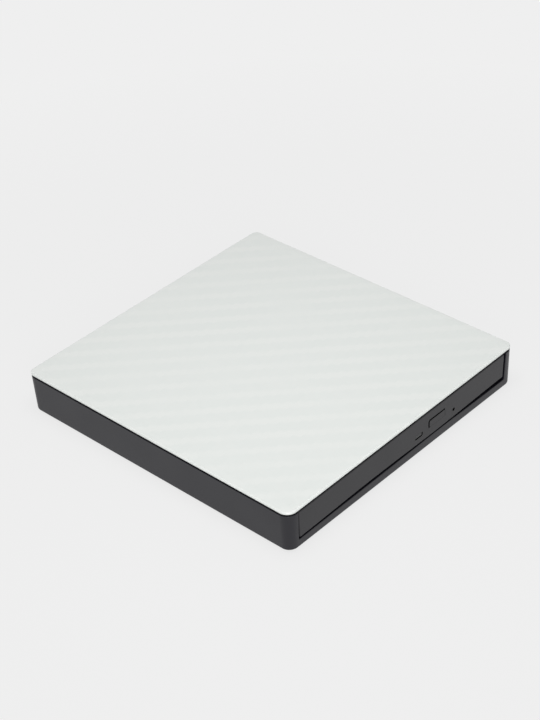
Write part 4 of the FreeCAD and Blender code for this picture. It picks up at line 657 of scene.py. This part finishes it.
# Tray. One moulding of black polystyrene with a round well for the disc, two finger scoops and the
# window for the drive unit. Its top is finely textured and its edges are rounded.
tray_black = moulded("textured_black_tray", "161617", roughness=0.5, grain=0.22, depth=0.3, mottle=0.18)
finished("tray", tray_black, edge=0.25, title="disc_tray")


# Boards under the tray. Two green boards on the tray's pins: one carries the drive's chips and the
# cable's second clamp, and the small one behind the bezel carries the push switch and the lamp.
finished("tray_board", board_green, edge=0.08)
finished("switch_board", board_green, edge=0.08)
finished("drive_chips", chip_black, edge=0.12)
finished("eject_switch", chip_black, edge=0.1)
clear_resin = moulded("milky_clear_resin", "b9bdb8", roughness=0.2, grain=0.4, depth=0.05, mottle=0.05)
finished("status_led", clear_resin, edge=0.12)


# Latch. A flat acetal hook turns on a pin under the tray's front right corner and catches the locking
# post. The small magnet that frees it sits in a plated steel box.
finished("latch_solenoid", sheet_steel, edge=0.15)
finished("latch_lever", acetal, edge=0.12)


# Drive unit. A pressed steel frame hung diagonally under the tray on three rubber spools, with the
# spindle motor, two polished guide shafts, the stepping motor and the bearing for its screw.
finished("traverse_frame", sheet_steel, edge=0.1)
finished("damper_right", rubber, edge=0.12)
finished("damper_left", rubber, edge=0.12)
finished("damper_rear", rubber, edge=0.12)
black_steel = drawn_steel("blackened_steel_screw", "2a2b2d", roughness=0.4, line=0.08, along=2)
finished("damper_screws", black_steel, edge=0.1)
motor_steel = drawn_steel("turned_motor_steel", "b9bbbd", roughness=0.3, line=0.07, along=2)
finished("motor_stator", motor_steel, edge=0.1)
shaft_steel = drawn_steel("polished_shaft_steel", "d3d5d7", roughness=0.14, line=0.2, along=2,
                          spread=0.04, depth=0.05)
finished("guide_shaft_main", shaft_steel, edge=0.1)
finished("guide_shaft_second", shaft_steel, edge=0.1)
finished("stepper_motor", motor_steel, edge=0.15)
finished("screw_bearing", acetal, edge=0.1)


# Lead screw. A steel shaft with a coarse rounded thread of two starts that the pickup's nut runs
# in. One full turn takes the nut, and the pickup with it, three millimetres outwards.
SCREW_RADIUS = 0.9
SCREW_LEAD = 3.0
THREAD_STARTS = 2
THREAD_DEPTH = 0.16
THREAD_FADE = 0.8
GROOVE_POWER = 0.7
SCREW_STATIONS = 230
SCREW_ROUND = 32
JOURNAL_RADIUS = 0.6
JOURNAL_LENGTH = 1.5
UNIT_TURN = math.radians(225)
UNIT_AXIS = np.array([math.cos(UNIT_TURN), math.sin(UNIT_TURN), 0.0])
UNIT_SIDE = np.array([-math.sin(UNIT_TURN), math.cos(UNIT_TURN), 0.0])
SPINDLE = np.array([-0.9, -7.55, 0.0])


def threaded(name):
    """Shaft along the pickup's path: its radius falls where the cosine of the starts times (a turn
    for each lead plus the angle round it) is above zero, so each start winds once a lead. The groove
    fades out at both ends, and a thinner journal ends the shaft."""
    mesh = solids[name].data
    points = np.empty(3 * len(mesh.vertices))
    mesh.vertices.foreach_get("co", points)
    points = points.reshape(-1, 3) / MM - SPINDLE
    first, last = (points @ UNIT_AXIS).min(), (points @ UNIT_AXIS).max()
    side = (points @ UNIT_SIDE).mean()
    height = middle(name)[2]
    around = np.linspace(0, 2 * math.pi, SCREW_ROUND, endpoint=False)
    station = np.linspace(first, last - JOURNAL_LENGTH, SCREW_STATIONS)
    phase = THREAD_STARTS * (2 * math.pi * station[:, None] / SCREW_LEAD + around)
    fade = np.clip(np.minimum(station - first, station[-1] - station) / THREAD_FADE, 0, 1)[:, None]
    radius = SCREW_RADIUS - THREAD_DEPTH * fade * np.clip(np.cos(phase), 0, 1) ** GROOVE_POWER
    journal = np.array([[station[-1]], [last]])
    station = np.vstack((station[:, None], journal))
    radius = np.vstack((radius, np.full((2, SCREW_ROUND), JOURNAL_RADIUS)))
    along = SPINDLE + station[..., None] * UNIT_AXIS
    rings = along + (side + radius * np.cos(around))[..., None] * UNIT_SIDE
    rings[..., 2] = height + radius * np.sin(around)
    return skin(rings)


built("threaded_lead_screw", threaded("lead_screw"), shaft_steel, ["lead_screw"], sharp=60)


# Pickup. A die-cast body that slides on both shafts, with an acetal nut on its side. Its black lens
# carrier floats in a pocket and holds a small glass lens with a domed top.
LENS_RADIUS = 2.18
LENS_RISE = 0.6
LENS_EDGE = 0.02
LENS_BLUE = "123b4a"
LENS_VIOLET = "3d2a63"
POLE_SHARE = 0.04
POLE_RADIUS = 0.1
cast = moulded("die_cast_zinc", "7d8084", roughness=0.42, grain=0.3, depth=0.3, mottle=0.16)
finished("pickup_housing", cast, edge=0.2)
finished("lead_nut", acetal, edge=0.1)
hub_black = moulded("glossy_black_acetal", "111112", roughness=0.28, grain=0.25, depth=0.08)
finished("lens_carrier", hub_black, edge=0.2)


def lens_glass(name):
    """Coated optical glass: deep blue-green that turns violet towards a grazing look."""
    made, tree, place = start(name)
    edge = node(tree, "LayerWeight", {"Blend": 0.35})
    tint = node(tree, "Mix", {6: linear(LENS_BLUE), 7: linear(LENS_VIOLET)}, {0: edge.outputs["Facing"]},
                data_type="RGBA")
    close(tree, node(tree, "BsdfPrincipled", {"Roughness": 0.03, "IOR": 1.6, "Coat Weight": 1.0,
                                              "Coat Roughness": 0.02}, {"Base Color": tint.outputs[2]}))
    return made


# The dome rises as one less the square of the distance from its axis, as a share of the radius.
low, high = corners("objective_lens")
lens_rim = high[2] - LENS_RISE
swell = np.linspace(POLE_SHARE, 1, 10)[::-1]
dome = [(LENS_RADIUS * s, lens_rim + LENS_RISE * (1 - s * s)) for s in swell]
lens_profile = [(POLE_RADIUS, low[2]), (LENS_RADIUS, low[2]), (LENS_RADIUS, lens_rim - LENS_EDGE)] + dome
lens_body = turned(lens_profile, middle("objective_lens")[:2], 40)
built("glass_lens", lens_body, lens_glass("coated_optical_glass"), ["objective_lens"])


# Unit cover. A thin steel plate enamelled black that fills the tray's window, with a keyhole
# opening for the turntable and the lens.
enamel = moulded("black_enamelled_plate", "0f0f10", roughness=0.36, grain=0.5, depth=0.12)
finished("traverse_cover", enamel, edge=0.12)


# Lower shield. A thin blackened steel sheet under the pickup's path, which closes the unit's window
# from below. Its inner end is cut round the motor, and its outer end is turned up and welded to the
# frame. The solids leave it out. It is also a dark sheet put in as painted shade: the pale floor below the
# window shows almost none of the tray's shadow, and the sheet stands in for that shade.
SHIELD_HALF = 12.0
SHIELD_LOW = 7.2
SHIELD_SHEET = 0.12
SHIELD_BITE = 13.2
SHIELD_END = 66.0
SHIELD_BEND = 0.5
SHIELD_TOP = 9.85
SHIELD_SHARP = 30


def turned_up_sheet():
    """Sheet whose profile starts on the motor's round, runs along the pickup's path and turns up
    through a quarter circle; it is carried from one side to the other."""
    side = np.linspace(-SHIELD_HALF, SHIELD_HALF, 25)
    turn = np.linspace(0, math.pi / 2, 7)
    centre = (SHIELD_END - SHIELD_BEND, SHIELD_LOW + SHIELD_BEND)
    tight = SHIELD_BEND - SHIELD_SHEET
    under = centre[0] + SHIELD_BEND * np.sin(turn), centre[1] - SHIELD_BEND * np.cos(turn)
    over = centre[0] + tight * np.sin(turn[::-1]), centre[1] - tight * np.cos(turn[::-1])
    reach = np.concatenate((under[0], [SHIELD_END, SHIELD_END - SHIELD_SHEET], over[0]))
    height = np.concatenate(([SHIELD_LOW], under[1], [SHIELD_TOP, SHIELD_TOP], over[1],
                             [SHIELD_LOW + SHIELD_SHEET]))
    near = np.sqrt(SHIELD_BITE ** 2 - side ** 2)[:, None]
    reach = np.hstack((near, np.broadcast_to(reach, (len(side), len(reach))), near))
    rings = SPINDLE + reach[..., None] * UNIT_AXIS + side[:, None, None] * UNIT_SIDE
    rings[..., 2] = height
    return skin(rings)


shield = placed("lower_shield", closed_mesh("lower_shield", turned_up_sheet()))
shield.data.materials.append(black_steel)
shield.data.shade_smooth()
shield.data.set_sharp_from_angle(angle=math.radians(SHIELD_SHARP))
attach(shield, "tray_unit")


# Turntable. The motor's steel cup carries a thin steel table with a grey rubber ring for the disc,
# and a black hub whose three acetal claws snap into the disc's hole.
SOCKET_RADIUS = 1.1
SOCKET_DEPTH = 0.7
CUT_PAST = 1.0
ring_rubber = moulded("grey_rubber_ring", "37393b", roughness=0.8, grain=0.2, depth=0.35, mottle=0.2)
finished("turntable", motor_steel, edge=0.12)
finished("disc_pad", ring_rubber, edge=0.12)
hub_top = corners("hub_cap")[1][2]
floor_z = hub_top - SOCKET_DEPTH
above_z = hub_top + CUT_PAST
socket = turned([(POLE_RADIUS, floor_z), (SOCKET_RADIUS, floor_z), (SOCKET_RADIUS, above_z),
                 (POLE_RADIUS, above_z)], middle("hub_cap")[:2], 32)
finished("hub_cap", hub_black, edge=0.15, title="hub_with_socket", cuts=[socket])
for number in (1, 2, 3):
    finished("hub_claw_%d" % number, acetal, edge=0.12)


# Bezel. The tray's moulded front, whose lower edge bows between its clips. It has an opening for
# the eject button, a bar for the lamp and a pinhole for the emergency release.
BEZEL_FRONT = -73.75
BEZEL_BACK = -70.2
BEZEL_CUTS = (-60, 60, 25)
BEZEL_LOW = 5.6
BEZEL_HIGH = 18.1
BEZEL_BOW_TOP = 8.6
BEZEL_STATIONS = [-65.2, -53.5, -44.1, -34.5, -24.8, -14.9, -4.9, 5.3, 15.7, 26.2, 36.9, 47.8, 58.9, 64.0]
BEZEL_HEIGHTS = [5.6, 5.8, 6.04, 6.28, 6.42, 6.4, 6.32, 6.12, 6.02, 6.12, 6.38, 6.68, 6.84, 6.88]
BEZEL_LEAN = 0.75
BEZEL_LEAN_FROM = 60.0
BEZEL_LEAN_OVER = 3.0
BEZEL_END = 62.5
BEZEL_WIDER = 1.0
BUTTON_BOX = (13.5, 10.3, 24.0, 14.2)
BUTTON_WALLS = (13.0, 10.0, 24.5, 14.6)
BUTTON_NEAR = 0.2
BUTTON_SHADE = 0.33
BUTTON_CORNER = 0.8
LAMP_BOX = (4.9, 9.65, 8.9, 10.75)
LAMP_WALLS = (4.5, 8.9, 9.7, 11.0)
LAMP_LINE = 0.66
LAMP_LAP = 0.1
LAMP_CUT = 0.05
LAMP_DEEP = 3.0
PINHOLE = (29.9, 9.95)
PINHOLE_RADIUS = 0.75
PINHOLE_WALLS = (29.0, 9.0, 31.0, 11.0)
PINHOLE_DEEP = 5.0
PLAY = 0.15
WALL_START = 0.05


def bow_bezel(work):
    """Lifts the lower edge to its height along X, sets the right end further out and leans it in
    towards its foot."""
    slice_front(work, BEZEL_BACK, BEZEL_CUTS)
    for v in work.verts:
        v.co.x += BEZEL_WIDER * MM * (v.co.x > BEZEL_END * MM)
    x0, z0, x1, z1 = BUTTON_BOX
    for v in work.verts:
        if x0 - BUTTON_NEAR < v.co.x / MM < x1 + BUTTON_NEAR and at(v.co.z, z1 + PLAY):
            v.co.z -= BUTTON_SHADE * MM
    chamfer(work, x0 - PLAY, z1 + PLAY - BUTTON_SHADE, BUTTON_CORNER)
    for v in work.verts:
        x, z = v.co.x / MM, v.co.z / MM
        rise = np.interp(x, BEZEL_STATIONS, BEZEL_HEIGHTS) - BEZEL_LOW
        share = np.clip((BEZEL_BOW_TOP - z) / (BEZEL_BOW_TOP - BEZEL_LOW), 0, 1)
        end = np.clip((x - BEZEL_LEAN_FROM) / BEZEL_LEAN_OVER, 0, 1)
        lean = end * BEZEL_LEAN * (BEZEL_HIGH - z) / (BEZEL_HIGH - BEZEL_LOW)
        v.co.z = (z + rise * share) * MM
        v.co.x = (x - lean) * MM


def chamfer(work, x, z, width):
    """Cuts off the corner of the edges that run along Y at a place of the front."""
    near = [v for v in work.verts if at(v.co.x, x) and at(v.co.z, z)]
    edges = [e for e in work.edges if e.verts[0] in near and e.verts[1] in near]
    bmesh.ops.bevel(work, geom=edges, offset=width * MM, offset_type="OFFSET", segments=1, affect="EDGES")


def slot_in_front(outline, depth):
    """A shape to cut from the bezel's front: an outline of (x, z) corners, carried in along Y."""
    x, z = np.asarray(outline, float).T
    ends = BEZEL_FRONT - CUT_PAST, BEZEL_FRONT + depth
    return skin([np.column_stack((x, np.full(len(x), y), z)) for y in ends])


def paint_shade_on_gap_walls(piece, material, boxes):
    """Gives the walls inside some boxes of (x, z) on the front a second material, a near-black one that
    paints the shade inside the gaps.
    """
    piece.data.materials.append(material)
    for face in piece.data.polygons:
        x, y, z = face.center / MM
        inside = [x0 < x < x1 and z0 < z < z1 for x0, z0, x1, z1 in boxes]
        if any(inside) and abs(face.normal.y) < 0.5 and y > BEZEL_FRONT + WALL_START:
            face.material_index = 1


bezel_abs = moulded("satin_black_bezel_abs", "1b1a1e", roughness=0.40, grain=0.4, depth=0.18, mottle=0.1,
                    gloss=0.45)
# Painted shade: a near-black, almost unglossy material for the walls inside the gaps round the button, the
# lamp bar and the pinhole. It stands in for the shade that falls there, since the real walls are the
# bezel's own plastic.
painted_gap_shade = moulded("painted_shade_in_gaps", "040404", roughness=0.9, grain=0.3, depth=0.1, gloss=0.1)
x0, z0, x1, z1 = LAMP_BOX
foot = z0 - LAMP_LINE
end = x1 + LAMP_LINE + LAMP_CUT
lamp_slot = slot_in_front([(x0, foot), (x1 + LAMP_LAP, foot), (end, z0 - LAMP_CUT), (end, z1),
                           (x1 - LAMP_LAP, z1), (x1 - LAMP_LAP, z0 + LAMP_LAP), (x0, z0 + LAMP_LAP)],
                          LAMP_DEEP)
angle = np.linspace(0, 2 * math.pi, 24, endpoint=False)
circle = PINHOLE + PINHOLE_RADIUS * np.column_stack((np.cos(angle), np.sin(angle)))
pinhole = slot_in_front(circle, PINHOLE_DEEP)
drawer_front = finished("tray_bezel", bezel_abs, edge=0.06, title="drawer_front", shape=bow_bezel,
                        cuts=[lamp_slot, pinhole])
paint_shade_on_gap_walls(drawer_front, painted_gap_shade, [BUTTON_WALLS, LAMP_WALLS, PINHOLE_WALLS])


# Eject button and lamp bar. A cap of the bezel's own black ABS that presses the switch behind it, and
# a bar of smoked plastic in front of the lamp. Both lie level with the bezel.
BUTTON_LINE = 0.66
CLOSE_FIT = 0.11
CAP_WITHIN = 0.01
CAP_DEEP = 2.6
EDGE_BAND = 0.35
FRONT_BAND = 0.1
LEVEL_WITHIN = 0.02
BAR_CLOSE = 0.03
BAR_BAND = 0.05
CUT_CORNER = 0.65
CUT_MARGIN = 0.2
CUT_DEEP = 1.6


def flush_button(work):
    """Draws the cap back level with the bezel and close against it right and below, and leaves a
    line above it and on its left."""
    x0, z0, x1, z1 = BUTTON_BOX
    for v in work.verts:
        x, y, z = v.co / MM
        across = x0 - CAP_WITHIN < x < x1 + CAP_WITHIN
        if across and z0 - CAP_WITHIN < z < z1 + CAP_WITHIN and y < BEZEL_FRONT + CAP_DEEP:
            left, right = x < x0 + EDGE_BAND, x > x1 - EDGE_BAND
            lower, upper = z < z0 + EDGE_BAND, z > z1 - EDGE_BAND
            v.co.x += (CLOSE_FIT * right + (BUTTON_LINE - PLAY) * left) * MM
            v.co.z -= (CLOSE_FIT * lower + (BUTTON_LINE - PLAY + BUTTON_SHADE) * upper) * MM
        if y < BEZEL_FRONT + FRONT_BAND:
            v.co.y = (BEZEL_FRONT - LEVEL_WITHIN) * MM


def flush_window(work):
    """Brings the lamp's bar forward until it is level with the bezel, close against it left and above."""
    front = min(v.co.y for v in work.verts)
    x0, z0, x1, z1 = LAMP_BOX
    for v in work.verts:
        if v.co.y < front + BAR_BAND * MM:
            v.co.y = (BEZEL_FRONT + LEVEL_WITHIN) * MM
            v.co.x -= BAR_CLOSE * MM * (v.co.x < (x0 + FRONT_BAND) * MM)
            v.co.z += BAR_CLOSE * MM * (v.co.z > (z1 - FRONT_BAND) * MM)


left = BUTTON_BOX[0] + BUTTON_LINE - PLAY
top = BUTTON_BOX[3] - BUTTON_LINE + PLAY - BUTTON_SHADE
corner = slot_in_front([(left - CUT_MARGIN, top - CUT_CORNER), (left + CUT_CORNER, top + CUT_MARGIN),
                        (left - CUT_MARGIN, top + CUT_MARGIN)], CUT_DEEP)
key = finished("eject_button", bezel_abs, edge=0.04, title="eject_key", shape=flush_button, cuts=[corner])
# The cap's own walls in the gap get the same painted shade.
paint_shade_on_gap_walls(key, painted_gap_shade, [BUTTON_WALLS])
smoked = moulded("smoked_lamp_bar", "1c1c1e", roughness=0.3, grain=0.5, depth=0.05)
finished("led_window", smoked, edge=0.04, title="lamp_bar", shape=flush_window)


# Top cover. The same zinc-coated sheet as the pan, folded over it and held by four screws, with a
# shallow ring pressed over the disc.
finished("drive_top_cover", sheet_steel, edge=0.12)
finished("cover_screws", black_steel, edge=0.1)


# Lid. A thin black plate carries a glossy white panel that falls a little towards its soft edge: clear
# lacquer over a film printed as a twill weave. The plate's edge shows as a dark line above the case. The
# plate is coloured darker and duller than its black plastic so that it paints the shade in that line.
PANEL_HALF = (70.7, 73.7)
PANEL_CORNER = (3.4, 3.0, 3.4, 4.5)
PANEL_LOW = 18.9
PANEL_TOP = 20.1
PANEL_ROLL = 0.7
PANEL_UNDER = 0.12
PANEL_CROWN = (4.4, 0.1)
TIGHTEST_CORNER = 0.6
CORNER_STEPS = 14
SIDE_STEPS = 3
TOW = 3.27
TOW_SPREAD = 0.14
TWILL_JUMP = 0.5
TWILL_DRIFT = 24.0
WEAVE_DARK = "e2e6e3"
WEAVE_LIGHT = "e6e9e6"


def rounded_loop(inset, z):
    """A level loop round the panel: quarter circles joined by straight sides, drawn in by an inset."""
    loop = []
    for k, (sx, sy) in enumerate(((1, -1), (1, 1), (-1, 1), (-1, -1))):
        radius = max(PANEL_CORNER[k] - inset, TIGHTEST_CORNER)
        angle = np.linspace(k - 1, k, CORNER_STEPS + 1) * math.pi / 2
        loop.append(np.stack((sx * (PANEL_HALF[0] - inset - radius) + radius * np.cos(angle),
                              sy * (PANEL_HALF[1] - inset - radius) + radius * np.sin(angle)), axis=1))
    points = []
    for k in range(4):
        share = np.linspace(0, 1, SIDE_STEPS + 1)[1:-1, None]
        points += [loop[k], loop[k][-1] * (1 - share) + loop[(k + 1) % 4][0] * share]
    points = np.concatenate(points)
    return np.column_stack((points, np.full(len(points), z)))


def lacquered_twill(name):
    """High gloss over a 2 by 2 twill. Narrow light lines run diagonally, four tows to a step, in
    straight stretches that jump by half a tow, and they fade in and out across the panel."""
    made, tree, place = start(name)
    scaled = node(tree, "VectorMath", {"Scale": 1 / (TOW * MM)}, {0: place}, operation="SCALE")
    axes = node(tree, "SeparateXYZ", wires={0: scaled.outputs[0]})
    rows = node(tree, "Math", {1: 1.0}, {0: axes.outputs[1]}, operation="SNAP")
    stepped = node(tree, "Mix", {0: TWILL_JUMP}, {2: axes.outputs[1], 3: rows.outputs[0]})
    both = node(tree, "Math", wires={0: axes.outputs[0], 1: stepped.outputs[0]}, operation="ADD")
    swing = node(tree, "Math", {1: math.pi / 2}, {0: both.outputs[0]}, operation="MULTIPLY")
    wave = node(tree, "Math", wires={0: swing.outputs[0]}, operation="SINE")
    line = node(tree, "MapRange", {"From Min": -0.3, "From Max": 1.0, "To Min": -0.5, "To Max": 0.7},
                {"Value": wave.outputs[0]}, interpolation_type="SMOOTHSTEP")
    drift = node(tree, "TexNoise", {"Scale": 1 / (TWILL_DRIFT * MM), "Detail": 2.0}, {"Vector": place})
    strength = node(tree, "MapRange", {"From Min": 0.35, "From Max": 0.65, "To Min": 0.3, "To Max": 1.0},
                    {"Value": drift.outputs[0]})
    across = node(tree, "Math", wires={0: axes.outputs[0]}, operation="FLOOR")
    along = node(tree, "Math", wires={0: axes.outputs[1]}, operation="FLOOR")
    cell = node(tree, "CombineXYZ", wires={0: across.outputs[0], 1: along.outputs[0]})
    tow = node(tree, "TexWhiteNoise", wires={"Vector": cell.outputs[0]}, noise_dimensions="2D")
    faint = node(tree, "MapRange", {"To Min": -TOW_SPREAD, "To Max": TOW_SPREAD},
                 {"Value": tow.outputs["Value"]})
    tone = node(tree, "Math", wires={0: line.outputs[0], 1: strength.outputs[0], 2: faint.outputs[0]},
                operation="MULTIPLY_ADD")
    level = node(tree, "Math", {1: 0.5}, {0: tone.outputs[0]}, operation="ADD")
    tint = node(tree, "Mix", {6: linear(WEAVE_DARK), 7: linear(WEAVE_LIGHT)}, {0: level.outputs[0]},
                data_type="RGBA")
    close(tree, node(tree, "BsdfPrincipled", {"Roughness": 0.4, "IOR": 1.45, "Coat Weight": 1.0,
                                              "Coat Roughness": 0.05}, {"Base Color": tint.outputs[2]}))
    return made


# Painted shade: the plate's near-black, dull colour stands in for the shade under the panel's edge, on top
# of the plate's own black.
liner_shade_black = moulded("inner_plate_darkened_as_painted_shade", "050505", roughness=0.85, grain=0.3, depth=0.15, gloss=0.2)
finished("lid_liner", liner_shade_black, edge=0.05)
rings = [rounded_loop(PANEL_CROWN[0], PANEL_LOW), rounded_loop(PANEL_UNDER, PANEL_LOW),
         rounded_loop(0, PANEL_LOW + PANEL_UNDER)]
for angle in np.linspace(0, math.pi / 2, 10):
    rings.append(rounded_loop(PANEL_ROLL * (1 - math.cos(angle)),
                              PANEL_TOP - PANEL_CROWN[1] - PANEL_ROLL * (1 - math.sin(angle))))
for share in np.linspace(0, 1, 9)[1:]:
    rings.append(rounded_loop(PANEL_ROLL + (PANEL_CROWN[0] - PANEL_ROLL) * share,
                              PANEL_TOP - PANEL_CROWN[1] * (1 - share) ** 2))
built("lid_panel", skin(rings), lacquered_twill("lacquered_twill_panel"), ["top_panel"], sharp=50)


# Case screws. Four blackened steel screws, driven up into the lid from the underside's recesses, two
# beside the drive at the front and two behind it.
finished("case_screws", black_steel, edge=0.08)
